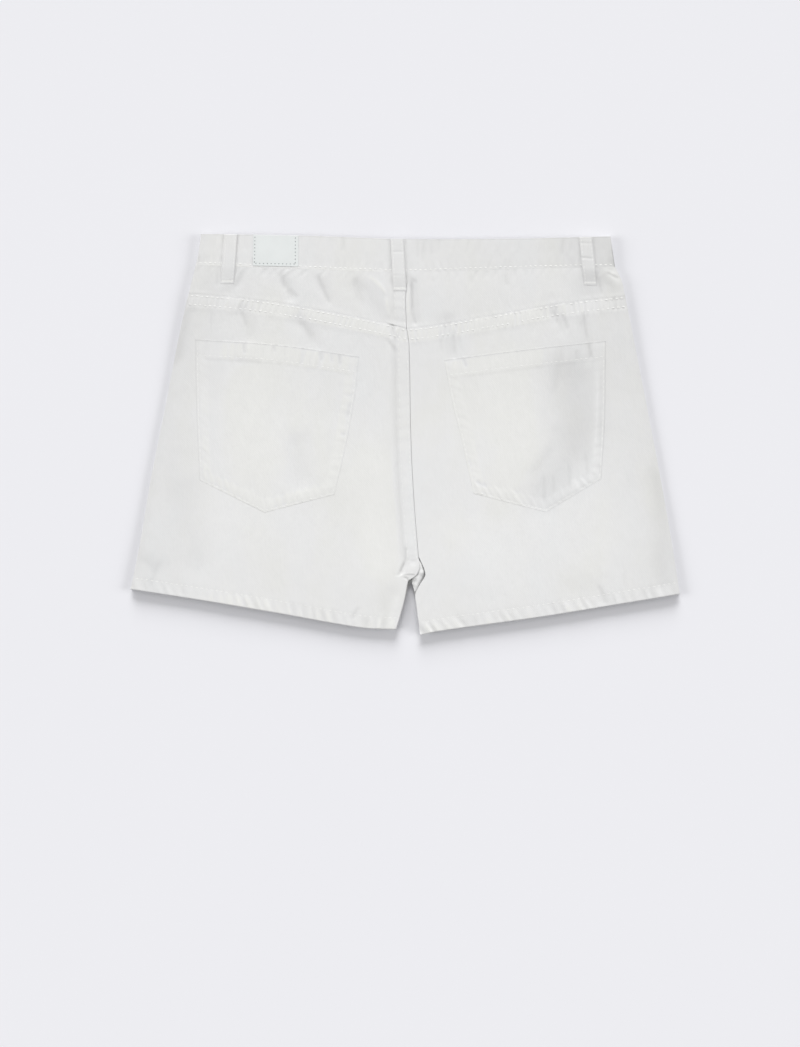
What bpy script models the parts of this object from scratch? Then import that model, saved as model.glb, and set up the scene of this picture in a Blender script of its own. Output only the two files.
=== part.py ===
"""White denim shorts laid flat, back side up, with every cut piece as its own closed solid.

The front lies on the surface and the back lies on the front. +Y runs towards the waist, +Z up, and the
origin is under the middle of the outline. Tables and named sizes are in millimetres; MM turns them into
metres.
A panel is a grid stretched between four edges, lifted to the height of its underside, and thickened upwards
by as many plies as lie there.
"""

import math
from collections import namedtuple

import bmesh
import bpy
from mathutils import Vector

MM = 0.001

# Wall thicknesses.
CLOTH = 1.2
HEM_WALL = 2.2
FELLED_WALL = 2.0
RIDGE_WALL = 2.1
WAISTBAND_BACK_WALL = 2.2
WAISTBAND_FRONT_WALL = 1.8
POCKET_WALL = 1.1
POCKET_TURN_WALL = 1.5
POCKET_MOUTH_WALL = 1.9
LOOP_WALL = 1.6
PATCH_WALL = 1.0

# Widths of what is turned, folded or felled, and of the slope where a wall steps down to one ply.
HEM_DEPTH = 12.5
FELLED_DEPTH = 12.6
RIDGE_WIDTH = 12.4
POCKET_MOUTH_DEPTH = 16.0
POCKET_TURN = 10.5
PLY_STEP = 1.2

# Gaps and heights of the layers.
SEAM_GAP = 0.3
PATCH_GAP = 0.45
FRONT_INSET = 0.7
WAIST_REST = 2.1
WAIST_RAMP_START = 16.0
WAIST_RAMP = 24.0
HEM_RAMP = 12.0
HEM_LIFT = 0.9
LOFT = 1.9
EDGE_ROUND = 11.0
WAIST_LOFT = 0.8
DEEPEST_GAP = 3.6

# The fly's underlap, and how far the back's lift over it fades.
FLY_LEFT = -20.0
FLY_RIGHT = 16.0
FLY_FOOT = 12.0
FLY_TOP = 141.5
FLY_ROUND = 4.0
FLY_FADE = 12.0

# The crotch: the x that parts the legs, the right leg's extra length and the low end of the seat ridge.
LEGS_PART_X = 2.4
RIGHT_LEG_LONGER = 5.2
RIDGE_FOOT = 52.0
FRONT_CROTCH_ROW = 50.0

# Where grid lines stand near a panel's side edge, beside the seat ridge and in from a hem or pocket edge.
SIDE_COLUMNS = (0.0, 1.5, 4.0, 8.0, 14.0)
RIDGE_COLUMNS = (0.0, RIDGE_WIDTH, RIDGE_WIDTH + PLY_STEP)
HEM_ROWS = (0.0, HEM_DEPTH, HEM_DEPTH + PLY_STEP)
CROTCH_ROWS = (24.0, 35.0, 45.0, 50.5, 56.0, 62.0, 70.0, 82.0)
FELLED_ROWS = (SEAM_GAP, 1.0, FELLED_DEPTH, FELLED_DEPTH + PLY_STEP)
TURN_LINES = (0.0, POCKET_TURN, POCKET_TURN + PLY_STEP)
MOUTH_ROWS = (0.0, POCKET_MOUTH_DEPTH, POCKET_MOUTH_DEPTH + PLY_STEP)
EDGE_ONLY = (0.0,)
GAP_ONLY = (SEAM_GAP,)

# Rows of the side table nearer than this to an edge's own end are left out of it.
SIDE_CLEAR = 2.0

# The waist button and the belt loops.
BUTTON_X = -6.0
BUTTON_Y = 157.0
BUTTON_RADIUS = 8.5
BUTTON_HEIGHT = 1.8
BUTTON_STEPS = 28
LOOP_WIDTH = 12.8
LOOP_OVERHANG = 1.0
LOOP_DROP = 5.0

Edge = namedtuple("Edge", "x y corner", defaults=(False,))
Side = namedtuple("Side", "y left right")
Fold = namedtuple("Fold", "x0 y0 x1 y1 width lift")
Loop = namedtuple("Loop", "name top_x top_y foot_x foot_y on_ridge")
Finish = namedtuple("Finish", "material collection")

# Half outlines at heights up the garment, from the top of the waist to the hem corners.
SIDES = (
    Side(190.2, -194.3, 195.0),
    Side(175.0, -196.2, 196.7),
    Side(159.8, -199.5, 199.0),
    Side(146.5, -202.8, 205.2),
    Side(127.5, -207.6, 209.5),
    Side(89.5, -216.1, 217.1),
    Side(32.5, -227.1, 228.3),
    Side(-43.5, -242.3, 242.7),
    Side(-100.5, -251.8, 252.7),
    Side(-151.8, -262.0, 260.8),
)

# Cross seams, from the left side to the centre and from the centre to the right side.
WAIST_TOP = (
    Edge(-194.3, 190.2),
    Edge(-100.2, 188.8),
    Edge(-5.2, 185.5),
    Edge(100.0, 185.8),
    Edge(195.0, 187.9),
)
WAIST_SEAM_LEFT = (Edge(-199.3, 160.8), Edge(-100.2, 157.0), Edge(0.3, 153.6))
WAIST_SEAM_RIGHT = (Edge(0.3, 153.6), Edge(42.3, 154.9), Edge(125.0, 157.3), Edge(199.2, 158.9))
YOKE_SEAM_LEFT = (
    Edge(-205.9, 134.2),
    Edge(-147.7, 129.0),
    Edge(-100.2, 121.8),
    Edge(-24.2, 107.1),
    Edge(1.0, 100.9),
)
YOKE_SEAM_RIGHT = (
    Edge(1.0, 100.9),
    Edge(23.3, 103.3),
    Edge(89.8, 114.7),
    Edge(146.8, 124.7),
    Edge(208.6, 132.0),
)
HEM_LEFT = (
    Edge(-261.1, -146.8),
    Edge(-195.2, -157.0),
    Edge(-119.2, -169.8),
    Edge(-43.2, -183.1),
    Edge(-9.0, -185.0),
)
HEM_RIGHT = (
    Edge(13.8, -190.2),
    Edge(32.8, -186.4),
    Edge(127.8, -173.1),
    Edge(203.8, -160.8),
    Edge(260.7, -151.4),
)

# Lengthwise seams, from low to high.
YOKE_CENTRE = (Edge(1.0, 100.9), Edge(0.0, 127.5), Edge(1.2, 145.0), Edge(0.3, 153.6))
SEAT_SEAM = (Edge(12.2, -116.0, True), Edge(8.1, -63.4), Edge(5.2, -6.4), Edge(3.3, 84.8), Edge(1.0, 100.9))
INSEAM_LEFT = (
    Edge(-9.0, -185.0),
    Edge(-1.4, -159.4),
    Edge(2.4, -139.5, True),
    Edge(10.5, -133.7),
    Edge(13.8, -125.2),
)
INSEAM_RIGHT = (
    Edge(13.8, -190.2),
    Edge(10.5, -164.1),
    Edge(9.2, -152.5),
    Edge(13.4, -143.0),
    Edge(18.5, -134.5),
    Edge(17.4, -127.5),
)
FRONT_CENTRE = (Edge(6.0, -60.0), Edge(6.0, 20.0), Edge(6.0, 142.0))
FRONT_INSEAM_LEFT = (Edge(-9.0, -185.0), Edge(-1.4, -159.4), Edge(2.4, -139.5), Edge(5.2, -134.7, True))
FRONT_INSEAM_RIGHT = (Edge(13.8, -190.2), Edge(10.5, -164.1), Edge(7.6, -148.0), Edge(5.2, -134.7, True))

# The front waist dips below the back waist towards its middle.
FRONT_WAIST_TOP_LEFT = (Edge(-194.9, 188.0), Edge(-100.0, 177.0), Edge(6.0, 170.5))
FRONT_WAIST_TOP_RIGHT = (Edge(6.0, 170.5), Edge(100.0, 177.0), Edge(195.2, 188.0))
FRONT_WAIST_SEAM_LEFT = (Edge(-199.6, 159.0), Edge(-100.0, 148.5), Edge(6.0, 142.0))
FRONT_WAIST_SEAM_RIGHT = (Edge(6.0, 142.0), Edge(100.0, 148.5), Edge(199.4, 159.0))

# Patch pockets: mouth, two sides and a pointed foot.
POCKET_LEFT = {
    "left": (Edge(-195.7, -43.5), Edge(-198.6, 23.0), Edge(-199.7, 90.0)),
    "bottom": (Edge(-195.7, -43.5), Edge(-134.0, -74.3, True), Edge(-67.5, -57.2)),
    "right": (Edge(-67.5, -57.2), Edge(-55.6, -5.5), Edge(-48.0, 37.3), Edge(-43.9, 73.6)),
    "top": (Edge(-199.7, 90.0), Edge(-120.0, 84.6), Edge(-43.9, 73.6)),
}
POCKET_RIGHT = {
    "left": (Edge(64.6, -56.3), Edge(53.0, -4.0), Edge(43.0, 37.0), Edge(37.0, 70.5)),
    "bottom": (Edge(64.6, -56.3), Edge(133.5, -73.9, True), Edge(186.2, -42.2)),
    "right": (Edge(186.2, -42.2), Edge(189.5, 13.5), Edge(190.3, 88.6)),
    "top": (Edge(37.0, 70.5), Edge(115.0, 80.4), Edge(190.3, 88.6)),
}

PATCH = {
    "left": (Edge(-144.9, 159.0), Edge(-144.4, 189.2)),
    "bottom": (Edge(-144.9, 159.0), Edge(-101.9, 157.4)),
    "right": (Edge(-101.9, 157.4), Edge(-101.7, 188.4)),
    "top": (Edge(-144.4, 189.2), Edge(-101.7, 188.4)),
}

FLY_FLAP = {
    "left": (
        Edge(FLY_LEFT + FLY_ROUND, FLY_FOOT),
        Edge(FLY_LEFT, FLY_FOOT + 7.0 * FLY_ROUND),
        Edge(FLY_LEFT, FLY_TOP),
    ),
    "bottom": (Edge(FLY_LEFT + FLY_ROUND, FLY_FOOT), Edge(FLY_RIGHT, FLY_FOOT)),
    "right": (Edge(FLY_RIGHT, FLY_FOOT), Edge(FLY_RIGHT, FLY_TOP)),
    "top": (Edge(FLY_LEFT, FLY_TOP), Edge(FLY_RIGHT, FLY_TOP)),
}

BACK_LOOPS = (
    Loop("left", -165.8, 189.6, -169.2, 142.8, False),
    Loop("centre", -8.1, 185.5, -5.3, 136.0, True),
    Loop("right", 171.0, 187.0, 175.8, 141.4, False),
)
FRONT_LOOPS = (
    Loop("left", -96.0, 176.4, -97.0, 133.0, False),
    Loop("right", 104.0, 177.0, 105.0, 133.0, False),
)

# The largest folds of the back: a line, the half width over which each fades, and its height, which is
# negative for a trough.
FOLDS = (
    Fold(163.9, 78.0, 165.8, -5.5, 17.0, -1.3),
    Fold(161.0, -10.0, 137.3, -62.5, 17.0, -1.1),
    Fold(-48.0, 146.5, -19.5, 110.4, 9.0, -0.9),
    Fold(-116.4, 151.3, -109.7, 130.4, 5.0, -0.8),
    Fold(-86.0, 154.1, -73.6, 127.5, 5.5, -0.8),
    Fold(-152.5, 158.0, -166.7, 135.1, 5.5, -0.8),
    Fold(168.6, 106.6, 173.4, 73.4, 6.0, -0.9),
    Fold(140.1, 115.2, 149.6, 99.0, 6.0, -0.6),
    Fold(6.5, 145.6, 9.5, 106.6, 4.5, -0.8),
    Fold(-154.4, 116.1, -147.7, 94.3, 7.0, -0.7),
    Fold(-102.1, 108.5, -88.8, 87.6, 7.0, -0.8),
    Fold(39.4, 106.6, 44.2, 75.3, 7.0, -0.7),
    Fold(238.9, -43.5, 243.7, -143.2, 9.0, -0.9),
    Fold(161.0, -146.1, 182.9, -153.0, 12.0, -0.8),
    Fold(-102.1, -10.2, -100.2, -38.7, 12.0, -0.7),
    Fold(196.2, 152.0, 201.9, 144.6, 5.0, 0.8),
    Fold(-252.0, -119.0, -236.0, -129.0, 8.0, -0.8),
    Fold(-210.0, -62.0, -200.0, -119.0, 15.0, -0.6),
    Fold(-140.0, 30.0, -125.0, -20.0, 50.0, 0.7),
    Fold(90.0, 25.0, 100.0, -30.0, 45.0, 0.7),
    Fold(-30.0, -40.0, -25.0, -130.0, 22.0, 0.6),
    Fold(60.0, -100.0, 90.0, -140.0, 26.0, 0.6),
)


def smooth_step(value):
    value = min(1.0, max(0.0, value))
    return value * value * (3.0 - 2.0 * value)


def edge_curve(points):
    """A function from 0..1 to (x, y) on a smooth curve through the points, sharp at the corners."""
    places = [Vector((point.x, point.y)) for point in points]
    along = [0.0]
    for before, after in zip(places, places[1:]):
        along.append(along[-1] + (after - before).length)
    last = len(places) - 1

    def slope(index, leaving):
        low, high = max(0, index - 1), min(last, index + 1)
        if points[index].corner:
            low, high = (index, high) if leaving else (low, index)
        return (places[high] - places[low]) / (along[high] - along[low])

    def at(fraction):
        distance = min(1.0, max(0.0, fraction)) * along[-1]
        index = next(k for k in range(last) if distance <= along[k + 1] or k == last - 1)
        span = along[index + 1] - along[index]
        t = (distance - along[index]) / span
        return (
            places[index] * (2 * t**3 - 3 * t**2 + 1)
            + slope(index, True) * (span * (t**3 - 2 * t**2 + t))
            + places[index + 1] * (3 * t**2 - 2 * t**3)
            + slope(index + 1, False) * (span * (t**3 - t**2))
        )

    return at


def height_at(points, x):
    """The y of a cross seam at x, on straight lines between its points."""
    for left, right in zip(points, points[1:]):
        if x <= right.x or right is points[-1]:
            share = min(1.0, max(0.0, (x - left.x) / (right.x - left.x)))
            return left.y + (right.y - left.y) * share
    return points[-1].y


def side_at(y):
    """The garment's left and right x at a height y."""
    for high, low in zip(SIDES, SIDES[1:]):
        if y >= low.y or low is SIDES[-1]:
            share = min(1.0, max(0.0, (high.y - y) / (high.y - low.y)))
            left = high.left + (low.left - high.left) * share
            return left, high.right + (low.right - high.right) * share
    return SIDES[-1].left, SIDES[-1].right


def side_edge(low, high, side):
    """The side's points from low to high; both ends are Edge points and side is left or right."""
    rows = [row for row in reversed(SIDES) if low.y + SIDE_CLEAR < row.y < high.y - SIDE_CLEAR]
    return (low, *(Edge(getattr(row, side), row.y) for row in rows), high)


def hem_height(x):
    return height_at(HEM_LEFT, x) if x < LEGS_PART_X else height_at(HEM_RIGHT, x)


def waist_seam_height(x):
    return height_at(FRONT_WAIST_SEAM_LEFT + FRONT_WAIST_SEAM_RIGHT[1:], x)


def front_under(x, y):
    """Underside of the front: flat, and lifted at the waist where loops and button lie below it."""
    below_seam = waist_seam_height(x) - y
    return WAIST_REST * smooth_step(1.0 - (below_seam - WAIST_RAMP_START) / WAIST_RAMP)


def front_level(x, y):
    """A smooth height that covers the front's upper face, hems and waistband included."""
    above_hem = y - hem_height(x) - HEM_DEPTH - PLY_STEP
    hem_extra = (HEM_WALL - CLOTH) * smooth_step(1.0 - above_hem / HEM_RAMP)
    below_seam = waist_seam_height(x) - y
    waist_extra = (WAISTBAND_FRONT_WALL - CLOTH) * smooth_step(1.0 - (below_seam - SEAM_GAP) / HEM_RAMP)
    return front_under(x, y) + CLOTH + hem_extra + waist_extra


def side_distance(x, y):
    left, right = side_at(y)
    return max(0.0, min(x - left, right - x))


def fly_height(x, y):
    """What the fly's underlap adds to the front, faded out around it."""
    outside = math.hypot(max(0.0, FLY_LEFT - x, x - FLY_RIGHT), max(0.0, FLY_FOOT - y))
    return (CLOTH + SEAM_GAP) * smooth_step(1.4 - outside / FLY_FADE)


def fold_lift(x, y):
    """Sum of the folds' soft troughs and ridges."""
    place = Vector((x, y))
    lift = 0.0
    for fold in FOLDS:
        start, end = Vector((fold.x0, fold.y0)), Vector((fold.x1, fold.y1))
        run = end - start
        share = min(1.0, max(0.0, (place - start).dot(run) / run.length_squared))
        distance = (place - start - run * share).length
        lift += fold.lift * math.exp(-((distance / fold.width) ** 2))
    return lift


def loft_at(x, y):
    """Free height between front and back away from the side edges, where the cloth rounds down."""
    return LOFT * math.sin(0.5 * math.pi * min(1.0, side_distance(x, y) / EDGE_ROUND))


def back_under(x, y):
    """Underside of the back panels and yokes."""
    hem_lift = HEM_LIFT * smooth_step(1.0 - (y - hem_height(x)) / (2.0 * HEM_RAMP))
    free = loft_at(x, y) + hem_lift + fold_lift(x, y) * smooth_step(side_distance(x, y) / EDGE_ROUND)
    return front_level(x, y) + SEAM_GAP + min(DEEPEST_GAP, max(fly_height(x, y), free))


def waistband_under(x, y):
    """Underside of the back waistband, clear of the front waistband."""
    return WAIST_REST + WAISTBAND_FRONT_WALL + SEAM_GAP + WAIST_LOFT * loft_at(x, y) / LOFT


def stations(length, near, count, far, via=None):
    """Fractions along a length: fixed distances from both ends, and count even spaces between them.

    A via fraction is always one of the stations.
    """
    low = near[-1] / length
    high = 1.0 - far[-1] / length
    if via is None:
        between = [low + (high - low) * step / count for step in range(1, count)]
    else:
        before = max(1, round(count * (via - low) / (high - low)))
        after = max(1, count - before)
        between = [low + (via - low) * step / before for step in range(1, before + 1)]
        between += [via + (high - via) * step / after for step in range(1, after)]
    return [inset / length for inset in near] + between + [1.0 - inset / length for inset in reversed(far)]


def plain_material(name, colour, roughness, metallic=0.0):
    material = bpy.data.materials.new(name)
    material.use_nodes = True
    shader = material.node_tree.nodes["Principled BSDF"]
    shader.inputs["Base Color"].default_value = (*colour, 1.0)
    shader.inputs["Roughness"].default_value = roughness
    shader.inputs["Metallic"].default_value = metallic
    material.diffuse_color = (*colour, 1.0)
    return material


def add_object(name, mesh, finish):
    mesh.materials.append(finish.material)
    piece = bpy.data.objects.new(name, mesh)
    finish.collection.objects.link(piece)
    return piece


def cloth_panel(name, edges, columns, rows, under, wall, finish, via=None):
    """A grid between four edges, lifted to its underside and thickened upwards.

    edges holds left, bottom, right and top; columns and rows are (near insets, count, far insets); under
    gives a height at (x, y); wall gives a thickness from the distances to the left, right, bottom and top.
    """
    left, bottom, right, top = (edge_curve(edges[key]) for key in ("left", "bottom", "right", "top"))
    mean_width = 0.5 * ((bottom(1.0) - bottom(0.0)).length + (top(1.0) - top(0.0)).length)
    mean_height = 0.5 * ((left(1.0) - left(0.0)).length + (right(1.0) - right(0.0)).length)
    column_count = len(stations(mean_width, columns[0], columns[1], columns[2], via)) - 1
    row_count = len(stations(mean_height, *rows)) - 1

    def place(u, v):
        low_corners = bottom(0.0) * (1 - u) + bottom(1.0) * u
        high_corners = top(0.0) * (1 - u) + top(1.0) * u
        across = bottom(u) * (1 - v) + top(u) * v
        return across + left(v) * (1 - u) + right(v) * u - low_corners * (1 - v) - high_corners * v

    sheet = bmesh.new()
    bmesh.ops.create_grid(sheet, x_segments=column_count, y_segments=row_count, size=0.5)
    weights = sheet.verts.layers.deform.verify()
    widest_wall = 0.0
    walls = {}
    for vert in sheet.verts:
        column = round((vert.co.x + 0.5) * column_count)
        row = round((vert.co.y + 0.5) * row_count)
        v_guess = row / row_count
        width = (right(v_guess) - left(v_guess)).length
        u = stations(width, columns[0], columns[1], columns[2], via)[column]
        height = (top(u) - bottom(u)).length
        v = stations(height, *rows)[row]
        flat = place(u, v)
        walls[vert] = wall(u * width, (1 - u) * width, v * height, (1 - v) * height)
        widest_wall = max(widest_wall, walls[vert])
        vert.co = Vector((flat.x, flat.y, under(flat.x, flat.y))) * MM
    for vert, thickness in walls.items():
        vert[weights][0] = thickness / widest_wall
    mesh = bpy.data.meshes.new(name)
    sheet.to_mesh(mesh)
    sheet.free()
    piece = add_object(name, mesh, finish)
    group = piece.vertex_groups.new(name="plies")
    solid = piece.modifiers.new("Wall", "SOLIDIFY")
    solid.thickness = widest_wall * MM
    solid.offset = 1.0
    solid.vertex_group = group.name
    return piece


def banded(distance, depth, wall, plain=CLOTH):
    """A wall that is thick up to a depth from an edge and steps down to a plain one."""
    return wall if distance < depth + 0.5 * PLY_STEP else plain


def even(thickness):
    """A wall of one thickness all over."""
    return lambda to_left, to_right, to_bottom, to_top: thickness


def back_legs(finish):
    """The two back panels. The left one carries the felled seat ridge and a short tab at the crotch."""

    def plain_wall(to_left, to_right, to_bottom, to_top):
        return max(banded(to_top, FELLED_DEPTH, FELLED_WALL), banded(to_bottom, HEM_DEPTH, HEM_WALL))

    def ridge_wall(to_left, to_right, to_bottom, to_top):
        ridge = banded(to_right, RIDGE_WIDTH, RIDGE_WALL) if to_bottom > RIDGE_FOOT else CLOTH
        return max(ridge, plain_wall(to_left, to_right, to_bottom, to_top))

    left_edges = {
        "left": side_edge(HEM_LEFT[0], YOKE_SEAM_LEFT[0], "left"),
        "bottom": HEM_LEFT,
        "right": INSEAM_LEFT + SEAT_SEAM,
        "top": YOKE_SEAM_LEFT,
    }
    right_edges = {
        "left": INSEAM_RIGHT + SEAT_SEAM,
        "bottom": HEM_RIGHT,
        "right": side_edge(HEM_RIGHT[-1], YOKE_SEAM_RIGHT[-1], "right"),
        "top": YOKE_SEAM_RIGHT,
    }
    left_columns = (SIDE_COLUMNS, 14, RIDGE_COLUMNS)
    right_columns = ((SEAM_GAP, 6.0), 15, SIDE_COLUMNS)
    left_rows = (HEM_ROWS + CROTCH_ROWS, 13, FELLED_ROWS)
    right_rows = (HEM_ROWS + tuple(row + RIGHT_LEG_LONGER for row in CROTCH_ROWS), 13, FELLED_ROWS)
    cloth_panel("back_leg_left", left_edges, left_columns, left_rows, back_under, ridge_wall, finish)
    cloth_panel("back_leg_right", right_edges, right_columns, right_rows, back_under, plain_wall, finish)


def back_yokes(finish):
    """The two yokes; the left one carries the upper end of the seat ridge."""

    def ridge_wall(to_left, to_right, to_bottom, to_top):
        return banded(to_right, RIDGE_WIDTH, RIDGE_WALL)

    left_edges = {
        "left": side_edge(YOKE_SEAM_LEFT[0], WAIST_SEAM_LEFT[0], "left"),
        "bottom": YOKE_SEAM_LEFT,
        "right": YOKE_CENTRE,
        "top": WAIST_SEAM_LEFT,
    }
    right_edges = {
        "left": YOKE_CENTRE,
        "bottom": YOKE_SEAM_RIGHT,
        "right": side_edge(YOKE_SEAM_RIGHT[-1], WAIST_SEAM_RIGHT[-1], "right"),
        "top": WAIST_SEAM_RIGHT,
    }
    left_columns = (SIDE_COLUMNS, 22, RIDGE_COLUMNS)
    right_columns = ((SEAM_GAP, 4.0, 9.0), 22, SIDE_COLUMNS)
    rows = (EDGE_ONLY, 6, GAP_ONLY)
    cloth_panel("back_yoke_left", left_edges, left_columns, rows, back_under, ridge_wall, finish)
    cloth_panel("back_yoke_right", right_edges, right_columns, rows, back_under, even(CLOTH), finish)


def back_pockets(finish):
    """Patch pockets on the back panels, thicker at the hemmed mouth and along the turned edges."""

    def under(x, y):
        return back_under(x, y) + CLOTH + PATCH_GAP

    def wall(to_left, to_right, to_bottom, to_top):
        turned = banded(min(to_left, to_right, to_bottom), POCKET_TURN, POCKET_TURN_WALL, POCKET_WALL)
        return max(turned, banded(to_top, POCKET_MOUTH_DEPTH, POCKET_MOUTH_WALL, POCKET_WALL))

    columns = (TURN_LINES, 12, TURN_LINES)
    rows = (TURN_LINES, 10, MOUTH_ROWS)
    for name, edges in (("back_pocket_left", POCKET_LEFT), ("back_pocket_right", POCKET_RIGHT)):
        foot = [Vector((point.x, point.y)) for point in edges["bottom"]]
        before, after = (foot[1] - foot[0]).length, (foot[2] - foot[1]).length
        tip = before / (before + after)
        cloth_panel(name, edges, columns, rows, under, wall, finish, via=tip)


def waistbands(finish):
    """The back waistband in one piece and the front one in two, which meet beside the button."""
    back_edges = {
        "left": side_edge(WAIST_SEAM_LEFT[0], WAIST_TOP[0], "left"),
        "bottom": WAIST_SEAM_LEFT + WAIST_SEAM_RIGHT[1:],
        "right": side_edge(WAIST_SEAM_RIGHT[-1], WAIST_TOP[-1], "right"),
        "top": WAIST_TOP,
    }
    columns = (SIDE_COLUMNS, 30, SIDE_COLUMNS)
    rows = (EDGE_ONLY, 3, EDGE_ONLY)
    wall = even(WAISTBAND_BACK_WALL)
    cloth_panel("waistband_back", back_edges, columns, rows, waistband_under, wall, finish)

    def front_rest(x, y):
        return WAIST_REST

    fronts = (
        ("left", FRONT_WAIST_SEAM_LEFT, FRONT_WAIST_TOP_LEFT, FRONT_INSET, 0.0),
        ("right", FRONT_WAIST_SEAM_RIGHT, FRONT_WAIST_TOP_RIGHT, SEAM_GAP, FRONT_INSET),
    )
    wall = even(WAISTBAND_FRONT_WALL)
    for side, seam, top, inset_left, inset_right in fronts:
        edges = {"left": (seam[0], top[0]), "bottom": seam, "right": (seam[-1], top[-1]), "top": top}
        columns = ((inset_left,), 12, (inset_right,))
        rows = (EDGE_ONLY, 2, EDGE_ONLY)
        cloth_panel("waistband_front_" + side, edges, columns, rows, front_rest, wall, finish)


def front_legs(finish):
    """The two plain front panels, flat on the surface, with turned hems."""

    def wall(to_left, to_right, to_bottom, to_top):
        return banded(to_bottom, HEM_DEPTH, HEM_WALL)

    left_edges = {
        "left": side_edge(HEM_LEFT[0], FRONT_WAIST_SEAM_LEFT[0], "left"),
        "bottom": HEM_LEFT,
        "right": FRONT_INSEAM_LEFT + FRONT_CENTRE,
        "top": FRONT_WAIST_SEAM_LEFT,
    }
    right_edges = {
        "left": FRONT_INSEAM_RIGHT + FRONT_CENTRE,
        "bottom": HEM_RIGHT,
        "right": side_edge(HEM_RIGHT[-1], FRONT_WAIST_SEAM_RIGHT[-1], "right"),
        "top": FRONT_WAIST_SEAM_RIGHT,
    }
    left_columns = ((FRONT_INSET,), 10, EDGE_ONLY)
    right_columns = (GAP_ONLY, 10, (FRONT_INSET,))
    waist_rows = (SEAM_GAP, *(WAIST_RAMP_START + WAIST_RAMP * step / 3 for step in range(4)))
    left_rows = ((*HEM_ROWS, FRONT_CROTCH_ROW), 7, waist_rows)
    right_rows = ((*HEM_ROWS, FRONT_CROTCH_ROW + RIGHT_LEG_LONGER), 7, waist_rows)
    cloth_panel("front_leg_left", left_edges, left_columns, left_rows, front_under, wall, finish)
    cloth_panel("front_leg_right", right_edges, right_columns, right_rows, front_under, wall, finish)


def fly_flap(finish):
    """The fly's underlap, inside the front along its centre opening."""

    def under(x, y):
        return front_under(x, y) + CLOTH + SEAM_GAP

    columns = (EDGE_ONLY, 3, EDGE_ONLY)
    rows = (EDGE_ONLY, 10, EDGE_ONLY)
    cloth_panel("fly_flap", FLY_FLAP, columns, rows, under, even(CLOTH), finish)


def waist_patch(finish):
    """The blank patch sewn on the back waistband."""

    def under(x, y):
        return waistband_under(x, y) + WAISTBAND_BACK_WALL + SEAM_GAP

    columns = (EDGE_ONLY, 4, EDGE_ONLY)
    rows = (EDGE_ONLY, 3, EDGE_ONLY)
    cloth_panel("waist_patch", PATCH, columns, rows, under, even(PATCH_WALL), finish)


def loop_edges(loop):
    half = 0.5 * LOOP_WIDTH
    foot_left, foot_right = Edge(loop.foot_x - half, loop.foot_y), Edge(loop.foot_x + half, loop.foot_y)
    top_left, top_right = Edge(loop.top_x - half, loop.top_y), Edge(loop.top_x + half, loop.top_y)
    return {
        "left": (foot_left, top_left),
        "bottom": (foot_left, foot_right),
        "right": (foot_right, top_right),
        "top": (top_left, top_right),
    }


def belt_loops(finish):
    """Flat strips from the waist's top edge to just below the waist seam."""
    for loop in BACK_LOOPS:
        seam = WAIST_SEAM_LEFT if loop.top_x < 0.0 else WAIST_SEAM_RIGHT
        seam_y = height_at(seam, loop.top_x)
        beneath = RIDGE_WALL if loop.on_ridge else CLOTH

        def under(x, y, seam_y=seam_y, beneath=beneath):
            on_band = waistband_under(x, y) + WAISTBAND_BACK_WALL + SEAM_GAP
            on_yoke = back_under(x, y) + beneath + PATCH_GAP
            share = smooth_step((seam_y - LOOP_OVERHANG - y) / LOOP_DROP)
            return max(on_yoke, on_band + (on_yoke - on_band) * share)

        drop_top = seam_y - loop.foot_y - LOOP_OVERHANG
        foot_rows = (0.0, 2.5, drop_top - LOOP_DROP, drop_top - 0.5 * LOOP_DROP, drop_top)
        columns = (EDGE_ONLY, 3, EDGE_ONLY)
        rows = (foot_rows, 4, EDGE_ONLY)
        name = "belt_loop_back_" + loop.name
        cloth_panel(name, loop_edges(loop), columns, rows, under, even(LOOP_WALL), finish)

    def on_surface(x, y):
        return 0.0

    for loop in FRONT_LOOPS:
        columns = (EDGE_ONLY, 2, EDGE_ONLY)
        rows = (EDGE_ONLY, 5, EDGE_ONLY)
        name = "belt_loop_front_" + loop.name
        cloth_panel(name, loop_edges(loop), columns, rows, on_surface, even(LOOP_WALL), finish)


def waist_button(finish):
    """A turned button under the front waistband's end, with a rim and a dished face."""
    radius, height = BUTTON_RADIUS * MM, BUTTON_HEIGHT * MM
    # From the top centre outwards, down the rim and back to the dished face's centre.
    profile = (
        (0.0, height),
        (0.62 * radius, height),
        (0.94 * radius, 0.72 * height),
        (radius, 0.4 * height),
        (0.94 * radius, 0.0),
        (0.8 * radius, 0.0),
        (0.7 * radius, 0.2 * height),
        (0.0, 0.28 * height),
    )
    mesh = bpy.data.meshes.new("waist_button")
    ring = bmesh.new()
    points = [ring.verts.new((x, 0.0, z)) for x, z in profile]
    for before, after in zip(points, points[1:]):
        ring.edges.new((before, after))
    ring.to_mesh(mesh)
    ring.free()
    button = add_object("waist_button", mesh, finish)
    button.location = Vector((BUTTON_X, BUTTON_Y, 0.0)) * MM
    turn = button.modifiers.new("Turn", "SCREW")
    turn.steps = BUTTON_STEPS
    turn.render_steps = BUTTON_STEPS
    turn.use_merge_vertices = True
    turn.merge_threshold = 0.00005
    return button


def main():
    for leftover in list(bpy.data.objects):
        bpy.data.objects.remove(leftover)
    collection = bpy.data.collections.new("denim_shorts")
    bpy.context.scene.collection.children.link(collection)
    denim = Finish(plain_material("white_denim", (0.80, 0.80, 0.79), 0.9), collection)
    for pieces in (front_legs, fly_flap, back_legs, back_yokes, back_pockets, waistbands, belt_loops):
        pieces(denim)
    waist_patch(Finish(plain_material("patch", (0.77, 0.80, 0.79), 0.6), collection))
    waist_button(Finish(plain_material("button_metal", (0.62, 0.61, 0.59), 0.35, metallic=1.0), collection))


if __name__ == "__main__":
    main()
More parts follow.
